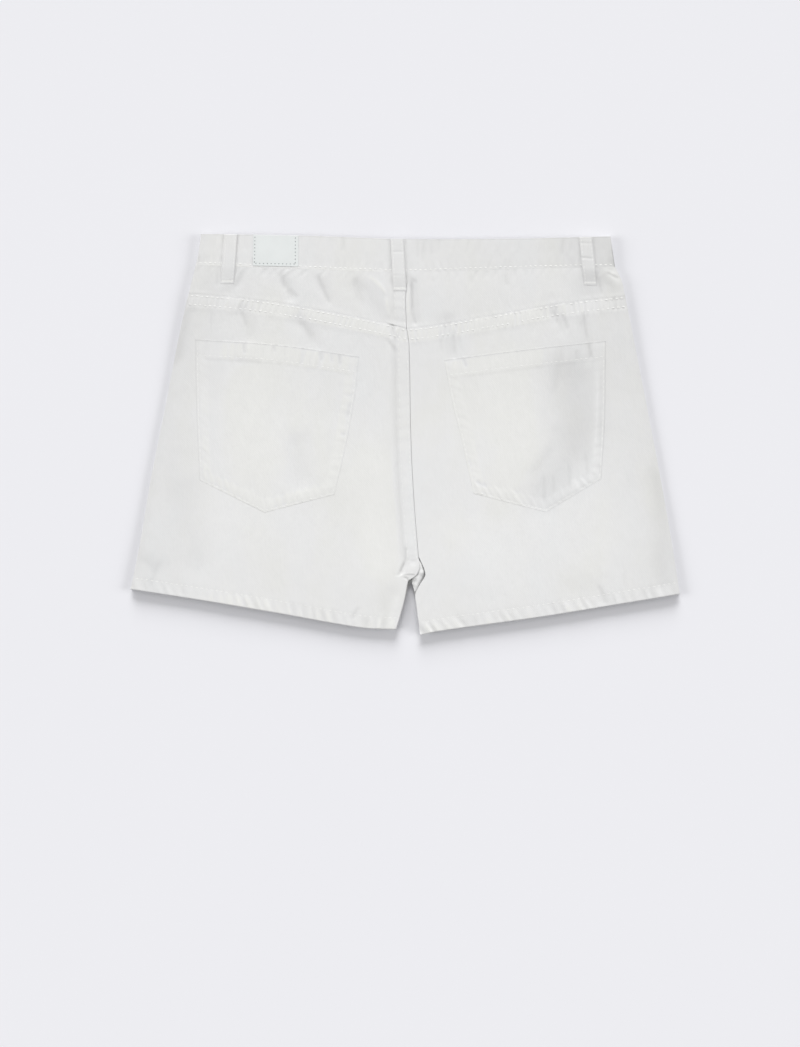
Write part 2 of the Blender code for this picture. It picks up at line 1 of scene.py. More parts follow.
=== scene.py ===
"""White denim shorts laid flat, back side up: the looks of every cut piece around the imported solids.

Each piece of cloth is a thin shell between four edges, as in the part's source, with a finer grid and with
the creases, seam puckers and stitching that the solids leave out. Tables and named sizes are in millimetres,
and MM turns them into metres.
"""

import math
from collections import namedtuple

import bmesh
import bpy
import numpy as np
from mathutils import Matrix


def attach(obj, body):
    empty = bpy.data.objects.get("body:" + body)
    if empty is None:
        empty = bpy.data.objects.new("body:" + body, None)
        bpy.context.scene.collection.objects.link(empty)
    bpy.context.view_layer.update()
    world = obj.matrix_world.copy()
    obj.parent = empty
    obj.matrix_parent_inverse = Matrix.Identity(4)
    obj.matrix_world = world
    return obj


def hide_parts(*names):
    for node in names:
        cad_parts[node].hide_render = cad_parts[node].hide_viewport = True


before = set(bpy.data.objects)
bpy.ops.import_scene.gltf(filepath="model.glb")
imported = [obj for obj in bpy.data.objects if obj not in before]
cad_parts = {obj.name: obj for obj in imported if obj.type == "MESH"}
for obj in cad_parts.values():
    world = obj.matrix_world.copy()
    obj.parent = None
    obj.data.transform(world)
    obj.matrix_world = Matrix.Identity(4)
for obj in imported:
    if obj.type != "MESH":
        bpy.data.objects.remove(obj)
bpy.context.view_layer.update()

bl_info = {
    "name": "White Denim Shorts",
    "version": (1, 0, 0),
    "blender": (4, 5, 0),
    "location": "3D View > Sidebar > Shorts",
    "description": "Adds white denim shorts laid flat, with folds, puckered seams and stitching",
    "category": "Add Mesh",
}

MM = 0.001

# Wall thicknesses: folded and felled stretches are pressed, so they stand only a little above one ply.
CLOTH = 1.2
HEM_WALL = 1.3
FELLED_WALL = 1.35
RIDGE_WALL = 1.6
WAISTBAND_BACK_WALL = 2.2
WAISTBAND_FRONT_WALL = 1.8
POCKET_WALL = 0.6
POCKET_TURN_WALL = 0.65
POCKET_MOUTH_WALL = 0.75
POCKET_EDGE_WALL = 0.12
POCKET_SINK = 0.4
WAIST_STEP = 0.03
LOOP_WALL = 0.9
LOOP_PRESS = 0.78
PATCH_WALL = 0.22

# Widths of what is turned, folded or felled, and of the slope where a wall steps down to one ply.
HEM_DEPTH = 12.5
FELLED_DEPTH = 12.6
RIDGE_WIDTH = 12.4
POCKET_MOUTH_DEPTH = 16.0
POCKET_TURN = 10.5
PLY_STEP = 2.4
HEM_STEP = 14.0
FELLED_STEP = 5.0

# Gaps and heights of the layers. The back rises gently towards hem and waist over what lies below it.
SEAM_GAP = 0.3
SEAM_CLOSE = 0.015
CENTRE_GAP = 0.2
LAID_GAP = 0.06
FRONT_INSET = 0.7
WAIST_REST = 2.1
WAIST_RAMP_START = 16.0
WAIST_RAMP = 24.0
HEM_RAMP = 12.0
LOFT = 1.9
EDGE_ROUND = 11.0
HEM_RISE = 2.0
HEM_RISE_LENGTH = 110.0
WAIST_RISE = 2.5
WAIST_RISE_LENGTH = 135.0
WAIST_LOFT = 0.8

# The fly's underlap.
FLY_LEFT = -20.0
FLY_RIGHT = 16.0
FLY_FOOT = 12.0
FLY_TOP = 141.5
FLY_ROUND = 4.0

# The crotch: the x that parts the legs, the right leg's extra length, the low end of the seat ridge, and
# where the front's layers bulge up between the back legs.
LEGS_PART_X = 2.4
RIGHT_LEG_LONGER = 5.2
RIDGE_FOOT = 52.0
CROTCH_X = 9.0
CROTCH_Y = -135.0
CROTCH_REACH = 13.0
CROTCH_LIFT = 1.2

# The waist button and the belt loops.
BUTTON_X = -6.0
BUTTON_Y = 157.0
BUTTON_RADIUS = 8.5
BUTTON_HEIGHT = 1.8
BUTTON_STEPS = 64
LOOP_WIDTH = 12.8
LOOP_OVERHANG = 1.0
LOOP_DROP = 5.0

SIDE_CLEAR = 2.0

# How deep folds and creases are pressed, and how much they, a bent edge, a turned band, nearness to the sides
# and the inner face change the cloth's tone. This tone is painted shade and painted highlight: what is raised
# or turned is painted paler, and what lies low, bends away, nears the sides or faces down is painted darker.
# Tones are shares of the cloth's colour and stay between TONE_LOW and TONE_HIGH.
FOLD_DEPTH = 0.75
CREASE_DEPTH = 0.6
FOLD_TONE = 0.055
CREASE_TONE = 0.11
RELIEF_TONE = 0.13
EDGE_TONE = 0.1
SIDE_TONE = 0.05
SIDE_TONE_REACH = 78.0
YOKE_TONE = 0.015
WAIST_TONE = 0.04
INNER_TONE = 0.5
BAND_TONE = 0.02
HEM_TONE = 0.025
RIM_TONE = 0.035
RIM_TONE_REACH = 11.0
TONE_LOW = 0.5
TONE_HIGH = 1.03

# The width over which two surfaces blend where one takes over from the other, squared.
BLEND = 0.09
# Points taken along an outline and along a row of stitches, the angle from which an edge is shaded sharp, and
# the length of one unit of the grain's UV map.
OUTLINE_SAMPLES = 60
SEAM_SAMPLES = 600
SHARP_DEGREES = 52.0
GRAIN_UNIT = 100.0

# Rows of stitches, by their distance in from a seam or edge.
HEM_STITCH = 11.2
FELLED_STITCHES = (2.4, 10.8)
RIDGE_STITCHES = (2.0, 10.4)
WAIST_STITCH = 2.4
POCKET_STITCH = 1.8
FINE_THREAD = 0.5
HEM_THREAD = 0.65
MOUTH_STITCH = 14.6
LOOP_STITCH = 2.0

EDGE_KEYS = ("left", "bottom", "right", "top")
Edge = namedtuple("Edge", "x y corner", defaults=(False,))
Side = namedtuple("Side", "y left right")
Fold = namedtuple("Fold", "x0 y0 x1 y1 width lift")
Crease = namedtuple("Crease", "x0 y0 x1 y1 width lift bow", defaults=(0.0,))
Loop = namedtuple("Loop", "name top_x top_y foot_x foot_y on_ridge")
Place = namedtuple("Place", "x y left right bottom top")
Row = namedtuple("Row", "edge inset start end")


def no_relief(place):
    return np.zeros_like(place.x)


Form = namedtuple("Form", "lower level relief bends tone", defaults=(no_relief, no_relief, no_relief))

# Half outlines at heights up the garment, from the top of the waist to the hem corners.
SIDES = (
    Side(190.2, -194.3, 195.0),
    Side(175.0, -196.2, 196.7),
    Side(159.8, -199.5, 199.0),
    Side(146.5, -202.8, 205.2),
    Side(127.5, -207.6, 209.5),
    Side(89.5, -216.1, 217.1),
    Side(32.5, -227.1, 228.3),
    Side(-43.5, -242.3, 242.7),
    Side(-100.5, -251.8, 252.7),
    Side(-151.8, -262.0, 260.8),
)

# Cross seams, from the left side to the centre and from the centre to the right side.
WAIST_TOP = (
    Edge(-194.3, 190.2),
    Edge(-100.2, 188.8),
    Edge(-5.2, 185.5),
    Edge(100.0, 185.8),
    Edge(195.0, 187.9),
)
WAIST_SEAM_LEFT = (Edge(-199.3, 160.8), Edge(-100.2, 157.0), Edge(0.3, 153.6))
WAIST_SEAM_RIGHT = (Edge(0.3, 153.6), Edge(42.3, 154.9), Edge(125.0, 157.3), Edge(199.2, 158.9))
YOKE_SEAM_LEFT = (
    Edge(-205.9, 134.2),
    Edge(-147.7, 129.0),
    Edge(-100.2, 121.8),
    Edge(-24.2, 107.1),
    Edge(1.0, 100.9),
)
YOKE_SEAM_RIGHT = (
    Edge(1.0, 100.9),
    Edge(23.3, 103.3),
    Edge(89.8, 114.7),
    Edge(146.8, 124.7),
    Edge(208.6, 132.0),
)
HEM_LEFT = (
    Edge(-261.1, -147.4),
    Edge(-195.2, -157.6),
    Edge(-119.2, -170.4),
    Edge(-43.2, -183.7),
    Edge(-9.0, -185.6),
)
HEM_RIGHT = (
    Edge(13.8, -190.8),
    Edge(32.8, -187.0),
    Edge(127.8, -173.7),
    Edge(203.8, -161.4),
    Edge(260.7, -152.0),
)

# Lengthwise seams, from low to high.
YOKE_CENTRE = (Edge(1.0, 100.9), Edge(0.0, 127.5), Edge(1.2, 145.0), Edge(0.3, 153.6))
SEAT_SEAM = (Edge(12.2, -116.0, True), Edge(8.1, -63.4), Edge(5.2, -6.4), Edge(3.3, 84.8), Edge(1.0, 100.9))
INSEAM_LEFT = (
    Edge(-9.0, -185.6),
    Edge(-1.4, -159.4),
    Edge(2.4, -139.5, True),
    Edge(10.5, -133.7),
    Edge(13.8, -125.2),
)
INSEAM_RIGHT = (
    Edge(13.8, -190.8),
    Edge(10.5, -164.1),
    Edge(9.2, -152.5),
    Edge(13.4, -143.0),
    Edge(18.5, -134.5),
    Edge(17.4, -127.5),
)
FRONT_CENTRE = (Edge(6.0, -60.0), Edge(6.0, 20.0), Edge(6.0, 142.0))
FRONT_INSEAM_LEFT = (Edge(-9.0, -185.6), Edge(-1.4, -159.4), Edge(2.4, -145.5), Edge(5.6, -140.5, True))
FRONT_INSEAM_RIGHT = (Edge(13.8, -190.8), Edge(10.5, -164.1), Edge(8.0, -149.0), Edge(5.6, -140.5, True))

# The front waist dips below the back waist towards its middle.
FRONT_WAIST_TOP_LEFT = (Edge(-194.9, 188.0), Edge(-100.0, 177.0), Edge(6.0, 170.5))
FRONT_WAIST_TOP_RIGHT = (Edge(6.0, 170.5), Edge(100.0, 177.0), Edge(195.2, 188.0))
FRONT_WAIST_SEAM_LEFT = (Edge(-199.6, 159.0), Edge(-100.0, 148.5), Edge(6.0, 142.0))
FRONT_WAIST_SEAM_RIGHT = (Edge(6.0, 142.0), Edge(100.0, 148.5), Edge(199.4, 159.0))

# Patch pockets: mouth, two sides and a pointed foot.
POCKET_LEFT = {
    "left": (Edge(-195.7, -43.5), Edge(-198.6, 23.0), Edge(-199.7, 90.0)),
    "bottom": (Edge(-195.7, -43.5), Edge(-134.0, -74.3, True), Edge(-67.5, -57.2)),
    "right": (Edge(-67.5, -57.2), Edge(-55.6, -5.5), Edge(-48.0, 37.3), Edge(-43.9, 73.6)),
    "top": (Edge(-199.7, 90.0), Edge(-120.0, 84.6), Edge(-43.9, 73.6)),
}
POCKET_RIGHT = {
    "left": (Edge(64.6, -56.3), Edge(53.0, -4.0), Edge(43.0, 37.0), Edge(37.0, 70.5)),
    "bottom": (Edge(64.6, -56.3), Edge(133.5, -73.9, True), Edge(186.2, -42.2)),
    "right": (Edge(186.2, -42.2), Edge(189.5, 13.5), Edge(190.3, 88.6)),
    "top": (Edge(37.0, 70.5), Edge(115.0, 80.4), Edge(190.3, 88.6)),
}

PATCH = {
    "left": (Edge(-144.9, 160.0), Edge(-144.4, 189.2)),
    "bottom": (Edge(-144.9, 160.0), Edge(-101.9, 159.2)),
    "right": (Edge(-101.9, 159.2), Edge(-101.7, 188.4)),
    "top": (Edge(-144.4, 189.2), Edge(-101.7, 188.4)),
}

FLY_FLAP = {
    "left": (
        Edge(FLY_LEFT + FLY_ROUND, FLY_FOOT),
        Edge(FLY_LEFT, FLY_FOOT + 7.0 * FLY_ROUND),
        Edge(FLY_LEFT, FLY_TOP),
    ),
    "bottom": (Edge(FLY_LEFT + FLY_ROUND, FLY_FOOT), Edge(FLY_RIGHT, FLY_FOOT)),
    "right": (Edge(FLY_RIGHT, FLY_FOOT), Edge(FLY_RIGHT, FLY_TOP)),
    "top": (Edge(FLY_LEFT, FLY_TOP), Edge(FLY_RIGHT, FLY_TOP)),
}

BACK_LOOPS = (
    Loop("left", -165.8, 189.6, -169.2, 142.8, False),
    Loop("centre", -8.1, 185.5, -5.3, 136.0, True),
    Loop("right", 171.0, 187.0, 175.8, 141.4, False),
)
FRONT_LOOPS = (
    Loop("left", -96.0, 176.4, -97.0, 133.0, False),
    Loop("right", 104.0, 177.0, 105.0, 133.0, False),
)

# The largest folds of the back, as in the solids: a line, the half width over which each fades, and its
# height, which is negative for a trough.
FOLDS = (
    Fold(158.0, 50.0, 163.5, 6.0, 25.5, -2.1),
    Fold(186.0, 150.0, 197.0, 136.0, 11.0, -0.6),
    Fold(160.0, -24.0, 134.0, -58.0, 20.0, -1.5),
    Fold(-212.0, 114.0, -219.0, 76.0, 10.0, -1.5),
    Fold(-46.0, 142.5, -19.5, 110.4, 9.0, -0.6),
    Fold(-116.4, 151.3, -109.7, 130.4, 5.0, -0.8),
    Fold(-86.0, 154.1, -73.6, 127.5, 5.5, -0.55),
    Fold(-152.5, 158.0, -166.7, 135.1, 5.5, -0.35),
    Fold(168.6, 102.6, 173.4, 73.4, 6.0, -0.6),
    Fold(140.1, 115.2, 149.6, 99.0, 6.0, -0.6),
    Fold(6.5, 145.6, 9.5, 106.6, 4.5, -0.8),
    Fold(176.0, 148.0, 174.0, 134.0, 11.0, -0.8),
    Fold(-154.4, 116.1, -147.7, 94.3, 7.0, -0.7),
    Fold(-102.1, 108.5, -88.8, 87.6, 7.0, -0.55),
    Fold(39.4, 106.6, 44.2, 75.3, 7.0, -0.7),
    Fold(238.9, -43.5, 243.7, -143.2, 9.0, -0.9),
    Fold(161.0, -146.1, 182.9, -153.0, 12.0, -0.35),
    Fold(-102.1, -10.2, -100.2, -38.7, 12.0, -0.7),
    Fold(196.2, 152.0, 201.9, 144.6, 5.0, 0.8),
    Fold(-252.0, -119.0, -236.0, -129.0, 8.0, -0.3),
    Fold(-210.0, -62.0, -200.0, -119.0, 15.0, -0.6),
    Fold(-140.0, 30.0, -125.0, -20.0, 50.0, 0.45),
    Fold(90.0, 25.0, 100.0, -30.0, 45.0, 0.5),
    Fold(-30.0, -40.0, -25.0, -130.0, 22.0, 0.6),
    Fold(60.0, -100.0, 90.0, -140.0, 26.0, 0.3),
)

# Finer creases of the back panels and yokes: a line, its half width, its height, and how far its middle bows.
BACK_CREASES = (
    Crease(-178.1, 157.9, -179.5, 138.9, 1.5, -0.4),
    Crease(-152.5, 163.6, -163.9, 135.1, 2.7, -0.42, 1.5),
    Crease(-117.3, 154.1, -113.5, 136.1, 2.3, -0.6, -1.0),
    Crease(-114.5, 137.0, -101.2, 127.5, 2.8, -0.4, 1.0),
    Crease(-84.1, 155.1, -71.2, 121.8, 2.1, -0.65, -1.2),
    Crease(-65.1, 155.1, -64.1, 150.3, 1.1, -0.25),
    Crease(-48.0, 152.2, -41.3, 120.9, 3.4, -0.42, -1.0),
    Crease(-39.4, 152.2, -17.6, 130.4, 2.1, 0.45, 3.0),
    Crease(-18.5, 131.3, -16.1, 109.5, 1.7, 0.45),
    Crease(-13.8, 150.3, -10.9, 110.4, 1.3, -0.4, 0.5),
    Crease(-157.2, 117.1, -150.6, 100.0, 1.7, -0.5, 0.6),
    Crease(-184.8, 119.9, -184.8, 95.2, 1.1, -0.28),
    Crease(-104.0, 109.5, -86.9, 87.6, 3.4, -0.5, 1.0),
    Crease(-18.5, 90.5, -9.0, 76.2, 1.5, -0.5, 0.5),
    Crease(-15.7, 92.4, -5.2, 79.1, 1.5, 0.35, 0.5),
    Crease(3.3, 151.3, 11.4, 142.7, 1.2, -0.6),
    Crease(5.5, 148.5, 6.2, 112.2, 1.3, -1.1, 0.3),
    Crease(6.2, 116.1, 9.5, 102.8, 1.3, -0.65),
    Crease(2.7, 142.7, 3.1, 108.5, 1.5, 0.45),
    Crease(25.6, 151.3, 27.1, 143.7, 1.3, -0.3),
    Crease(62.2, 153.2, 63.6, 142.7, 1.9, -0.3),
    Crease(93.6, 154.1, 97.4, 139.9, 2.5, -0.4),
    Crease(181.7, 150.3, 186.2, 131.3, 1.7, -0.6, 0.6),
    Crease(190.5, 155.1, 203.8, 148.0, 1.5, -1.4, -0.6),
    Crease(187.6, 157.5, 200.0, 152.2, 1.5, 0.9, -0.4),
    Crease(139.7, 118.0, 143.9, 103.8, 1.5, -0.6, 0.4),
    Crease(147.7, 115.2, 154.4, 98.1, 1.9, -0.55, 0.4),
    Crease(169.1, 116.1, 172.9, 86.7, 1.4, -0.6, -0.6),
    Crease(184.8, 119.0, 186.7, 106.6, 1.3, -0.3),
    Crease(33.2, 99.0, 34.2, 75.3, 1.3, -0.42),
    Crease(45.1, 99.0, 47.0, 72.4, 1.5, -0.5),
    Crease(51.8, 91.4, 52.7, 78.1, 1.1, -0.25),
    Crease(206.6, -130.9, 209.5, -149.9, 1.7, -0.3),
    Crease(181.9, -142.3, 191.4, -163.2, 2.1, -0.5, 0.5),
    Crease(-10.9, -140.2, -22.4, -176.9, 6.5, -0.28, -1.0),
    Crease(-44.2, -164.1, -50.8, -177.4, 1.9, -0.45),
    Crease(-7.1, -153.7, -12.8, -176.5, 3.0, 0.2),
    Crease(-252.2, -115.7, -237.0, -134.7, 2.8, -0.2, 1.0),
    Crease(-233.2, -119.5, -242.7, -148.0, 2.8, -0.35),
)

# The crotch's own small folds, on the left leg's tab.
CROTCH_CREASES = (
    Crease(0.2, -107.1, 0.2, -121.4, 1.1, -0.7),
    Crease(0.2, -120.4, -4.8, -132.8, 1.1, -0.75, -0.5),
    Crease(-1.4, -133.9, 10.4, -134.3, 0.9, -0.35, 0.3),
    Crease(-1.4, -135.6, 4.3, -140.4, 0.9, -0.45, 0.2),
    Crease(-0.9, -129.0, 12.3, -128.1, 3.8, 0.1),
    Crease(3.3, -111.4, 9.0, -112.3, 0.9, -0.35),
    Crease(3.3, -115.2, 9.5, -116.1, 0.9, -0.4),
    Crease(3.8, -119.0, 10.0, -119.9, 0.9, -0.45),
    Crease(4.3, -122.5, 10.9, -123.3, 0.9, -0.45),
)

# The front's folded layers that stand up between the back legs at the crotch.
FRONT_CREASES = (
    Crease(14.5, -116.0, 16.3, -134.8, 3.8, 2.9, -0.6),
    Crease(16.7, -130.0, 8.5, -154.0, 3.6, 2.7, -0.8),
    Crease(11.5, -122.0, 8.0, -140.0, 2.8, 1.8),
    Crease(5.0, -130.0, 7.2, -146.0, 2.8, 1.2),
)

# Creases across the belt loops.
LOOP_CREASES = (
    Crease(-13.5, 172.9, -1.5, 173.4, 0.9, -0.18),
    Crease(-14.0, 150.8, -0.5, 151.0, 0.8, -0.1),
    Crease(164.5, 181.7, 177.5, 180.9, 0.8, -0.18),
    Crease(165.0, 167.8, 178.5, 166.6, 0.9, -0.26),
)

# Creases in the pockets alone.
POCKET_CREASES = (
    Crease(-153.9, 86.7, -152.5, 75.3, 1.3, -0.45),
    Crease(-125.5, 83.8, -123.5, 77.2, 1.2, -0.35),
    Crease(-81.2, 78.1, -79.8, 68.6, 1.4, -0.4),
    Crease(-70.8, 76.2, -69.8, 67.7, 1.1, -0.25),
    Crease(-62.7, 75.8, -62.2, 64.8, 1.1, -0.55),
    Crease(-163.9, 71.0, -136.3, 67.2, 3.2, -0.2, 0.5),
    Crease(151.0, 88.0, 140.0, 32.0, 4.5, -0.24, -1.5),
    Crease(141.0, -8.0, 116.0, -42.0, 5.0, -0.24, 1.5),
    Crease(-52.7, 30.6, -55.6, 13.5, 1.4, -0.3),
    Crease(-61.3, 1.2, -57.5, -1.7, 1.3, -0.35),
    Crease(173.4, 87.6, 177.2, 70.5, 1.4, -0.55),
    Crease(55.1, 72.4, 57.9, 62.9, 1.4, -0.5),
    Crease(66.0, -44.4, 77.4, -51.1, 1.5, -0.28, 0.4),
    Crease(131.1, -38.5, 131.6, -66.6, 1.7, -0.3, 0.5),
    Crease(140.1, -36.7, 140.6, -60.0, 1.6, -0.22, 0.5),
    Crease(154.4, -24.9, 156.3, -56.2, 1.8, -0.28, 0.8),
    Crease(170.5, -16.4, 172.4, -46.6, 1.7, -0.26, 0.8),
    Crease(162.0, 80.0, 162.9, 68.6, 1.5, -0.35),
    Crease(181.9, 64.8, 179.1, -29.2, 1.1, 0.25, 1.5),
    Crease(185.7, 64.8, 184.3, -29.2, 1.1, -0.22, 0.5),
)

# Soft upright ripples of the waistband.
WAISTBAND_CREASES = (
    Crease(11.4, 186.0, 11.0, 166.0, 1.5, -0.2, 0.3),
    Crease(17.5, 185.5, 17.0, 162.0, 1.8, -0.2, -0.3),
    Crease(24.5, 185.5, 24.0, 168.0, 1.5, -0.17),
    Crease(31.5, 186.0, 32.0, 171.0, 1.4, -0.2),
    Crease(150.0, 186.5, 148.0, 168.0, 2.0, -0.25, 0.4),
    Crease(-60.0, 187.5, -58.5, 172.0, 2.0, -0.22, 0.4),
)


def smooth_step(value):
    value = np.clip(value, 0.0, 1.0)
    return value * value * (3.0 - 2.0 * value)


def bell(distance, width):
    """1 at no distance, fading softly to 0 on both sides."""
    return np.exp(-((distance / width) ** 2))


def nearest(*distances):
    """The least of several distances at each place."""
    return np.minimum.reduce(distances)


def apart(near, far):
    """The distance from each point of one array of (x, y) to the same point of another."""
    return np.hypot(*np.moveaxis(far - near, -1, 0))


def edge_curve(points):
    """A function from fractions to (x, y) rows on a smooth curve through the points, sharp at the corners."""
    places = np.array([(point.x, point.y) for point in points])
    spans = np.hypot(*np.diff(places, axis=0).T)
    along = np.concatenate(([0.0], np.cumsum(spans)))
    last = len(points) - 1

    def slope(index, leaving):
        low, high = max(0, index - 1), min(last, index + 1)
        if points[index].corner:
            low, high = (index, high) if leaving else (low, index)
        return (places[high] - places[low]) / (along[high] - along[low])

    leaves = np.array([slope(index, True) for index in range(last)])
    arrives = np.array([slope(index + 1, False) for index in range(last)])

    def at(fraction):
        distance = np.clip(fraction, 0.0, 1.0) * along[-1]
        index = np.clip(np.searchsorted(along, distance) - 1, 0, last - 1)
        span = spans[index][..., None]
        t = (distance - along[index])[..., None] / span
        return (
            places[index] * (2 * t**3 - 3 * t**2 + 1)
            + leaves[index] * (span * (t**3 - 2 * t**2 + t))
            + places[index + 1] * (3 * t**2 - 2 * t**3)
            + arrives[index] * (span * (t**3 - t**2))
        )

    return at


def height_at(points, x):
    """The y of a cross seam at x, on straight lines between its points."""
    return np.interp(x, [point.x for point in points], [point.y for point in points])


def side_distance(x, y):
    rows = SIDES[::-1]
    left = np.interp(y, [row.y for row in rows], [row.left for row in rows])
    right = np.interp(y, [row.y for row in rows], [row.right for row in rows])
    return np.maximum(0.0, np.minimum(x - left, right - x))


def side_edge(low, high, side):
    """The side's points from low to high; both ends are Edge points and side is left or right."""
    rows = [row for row in reversed(SIDES) if low.y + SIDE_CLEAR < row.y < high.y - SIDE_CLEAR]
    return (low, *(Edge(getattr(row, side), row.y) for row in rows), high)


def left_half(bottom, inner, top):
    """The edges of a piece of the left half, between the garment's side and an inner seam."""
    return {"left": side_edge(bottom[0], top[0], "left"), "bottom": bottom, "right": inner, "top": top}


def right_half(bottom, inner, top):
    """The edges of a piece of the right half, between an inner seam and the garment's side."""
    return {"left": inner, "bottom": bottom, "right": side_edge(bottom[-1], top[-1], "right"), "top": top}


def hem_height(x):
    return np.where(x < LEGS_PART_X, height_at(HEM_LEFT, x), height_at(HEM_RIGHT, x))


def waist_seam_height(x):
    return height_at(FRONT_WAIST_SEAM_LEFT + FRONT_WAIST_SEAM_RIGHT[1:], x)


def above_waist_seam(x, y):
    return y - height_at(WAIST_SEAM_LEFT + WAIST_SEAM_RIGHT[1:], x)


def near_crotch(x, y):
    """1 at the crotch, fading to 0 over its reach."""
    return np.exp(-((x - CROTCH_X) ** 2 + (y - CROTCH_Y) ** 2) / CROTCH_REACH**2)


def front_under(x, y):
    """Underside of the front: lifted at the waist, where loops and button lie below it, and at the crotch."""
    below_seam = waist_seam_height(x) - y
    bulge = CROTCH_LIFT * near_crotch(x, y)
    return WAIST_REST * smooth_step(1.0 - (below_seam - WAIST_RAMP_START) / WAIST_RAMP) + bulge


def front_level(x, y):
    """A smooth height that covers the front's upper face, hems and waistband included."""
    above_hem = y - hem_height(x) - HEM_DEPTH - PLY_STEP
    hem_extra = (HEM_WALL - CLOTH) * smooth_step(1.0 - above_hem / HEM_RAMP)
    below_seam = waist_seam_height(x) - y
    waist_extra = (WAISTBAND_FRONT_WALL - CLOTH) * smooth_step(1.0 - (below_seam - SEAM_GAP) / HEM_RAMP)
    return front_under(x, y) + CLOTH + hem_extra + waist_extra


def fold_lift(x, y):
    """Sum of the large folds' soft troughs and ridges."""
    lift = np.zeros_like(x)
    for fold in FOLDS:
        run_x, run_y = fold.x1 - fold.x0, fold.y1 - fold.y0
        share = ((x - fold.x0) * run_x + (y - fold.y0) * run_y) / (run_x**2 + run_y**2)
        share = np.clip(share, 0.0, 1.0)
        distance = np.hypot(x - fold.x0 - run_x * share, y - fold.y0 - run_y * share)
        lift += fold.lift * bell(distance, fold.width)
    return lift


def crease_lift(x, y, creases):
    """Sum of fine creases, which bow sideways and fade towards both ends."""
    lift = np.zeros_like(x)
    for crease in creases:
        run_x, run_y = crease.x1 - crease.x0, crease.y1 - crease.y0
        length = math.hypot(run_x, run_y)
        along = ((x - crease.x0) * run_x + (y - crease.y0) * run_y) / length**2
        beside = ((y - crease.y0) * run_x - (x - crease.x0) * run_y) / length
        beside -= crease.bow * 4.0 * along * (1.0 - along)
        fade = smooth_step((along + 0.05) / 0.3) * smooth_step((1.05 - along) / 0.3)
        lift += crease.lift * fade * bell(beside, crease.width)
    return lift


def pocket_inset(x, y):
    """How far inside the nearer pocket's outline a place lies; negative outside."""
    within = np.full_like(x, -np.inf)
    for edges in (POCKET_LEFT, POCKET_RIGHT):
        inside = np.full_like(x, np.inf)
        for key in EDGE_KEYS:
            points = edges[key][::-1] if key == "left" else edges[key]
            turn = -1.0 if key == "top" else 1.0
            for start, end in zip(points, points[1:]):
                run_x, run_y = end.x - start.x, end.y - start.y
                beside = (run_x * (y - start.y) - run_y * (x - start.x)) / math.hypot(run_x, run_y)
                inside = np.minimum(inside, turn * beside)
        within = np.maximum(within, inside)
    return within


def pocket_sunk(x, y):
    """How far a pocket is pressed into the leg below it, away from its edges."""
    return POCKET_SINK * smooth_step((pocket_inset(x, y) - 0.8) / 3.0)


def loft_at(x, y):
    """Free height between front and back away from the side edges, where the cloth rounds down."""
    return LOFT * np.sin(0.5 * math.pi * np.minimum(1.0, side_distance(x, y) / EDGE_ROUND))


def back_under(x, y):
    """Underside of the back panels and yokes: their own soft form, wherever it clears the front."""
    free = loft_at(x, y) / LOFT
    rise = HEM_RISE * smooth_step(1.0 - (y - hem_height(x)) / HEM_RISE_LENGTH)
    rise += WAIST_RISE * smooth_step(1.0 - (waist_seam_height(x) - y) / WAIST_RISE_LENGTH)
    inside = smooth_step(side_distance(x, y) / EDGE_ROUND)
    inside = inside * smooth_step(-above_waist_seam(x, y) / 20.0)
    bent = (FOLD_DEPTH * fold_lift(x, y) + CREASE_DEPTH * crease_lift(x, y, BACK_CREASES)) * inside
    form = CLOTH + SEAM_GAP + (LOFT + rise) * (0.6 + 0.4 * free) + bent
    clear = front_level(x, y) + LAID_GAP
    return 0.5 * (form + clear + np.sqrt((form - clear) ** 2 + BLEND))


def waistband_under(x, y):
    """Underside of the back waistband, clear of the front waistband."""
    return WAIST_REST + WAISTBAND_FRONT_WALL + SEAM_GAP + WAIST_LOFT * loft_at(x, y) / LOFT


def waistband_top(x, y, above_seam):
    """Upper face of the back waistband, which is pressed down to the yokes along its seam."""
    under = waistband_under(x, y)
    seam = back_under(x, y) + CLOTH - under + WAIST_STEP
    return under + WAISTBAND_BACK_WALL + (seam - WAISTBAND_BACK_WALL) * smooth_step(1.0 - above_seam / 11.0)


def uneven(along, pitch, seed, turns=False):
    """Soft random heights from -1 to 1 at uneven places along a seam; with turns, they go up and down."""
    draws = np.random.default_rng(seed)
    count = int(np.max(along) / pitch) + 6
    places = (np.arange(count) - 2 + 0.42 * draws.uniform(-1.0, 1.0, count)) * pitch
    heights = draws.uniform(-1.0, 1.0, count)
    if turns:
        heights = (0.1 + 0.9 * np.abs(heights)) * np.where(np.arange(count) % 2, -1.0, 1.0)
    index = np.clip(np.searchsorted(places, along) - 1, 0, count - 2)
    share = smooth_step((along - places[index]) / (places[index + 1] - places[index]))
    return heights[index] + (heights[index + 1] - heights[index]) * share


def puckers(along, inward, depth, height, pitch, slant, seed):
    """Ripples that a seam's thread draws into a band, in busy and calm stretches, running at a slant."""
    inside = smooth_step((inward + 0.8) / 1.6) * smooth_step((depth + 3.0 - inward) / 5.0)
    busy = 0.45 + 0.9 * np.abs(uneven(along, 8.0 * pitch, seed + 1))
    leaning = slant * (1.0 + 0.8 * uneven(along, 6.0 * pitch, seed + 3))
    run = np.maximum(0.0, along + leaning * inward)
    waves = 0.7 * uneven(run, pitch, seed, True) + 0.3 * uneven(run, 2.3 * pitch, seed + 2)
    return height * inside * busy * waves


def groove(inward, inset, depth=0.1, width=0.9):
    """The dent along a row of stitches."""
    return -depth * bell(inward - inset, width)


def banded(distance, depth, wall, plain=CLOTH, step=PLY_STEP):
    """A wall that is thick up to a depth from an edge and steps down softly to a plain one."""
    return plain + (wall - plain) * smooth_step((depth + step - distance) / step)


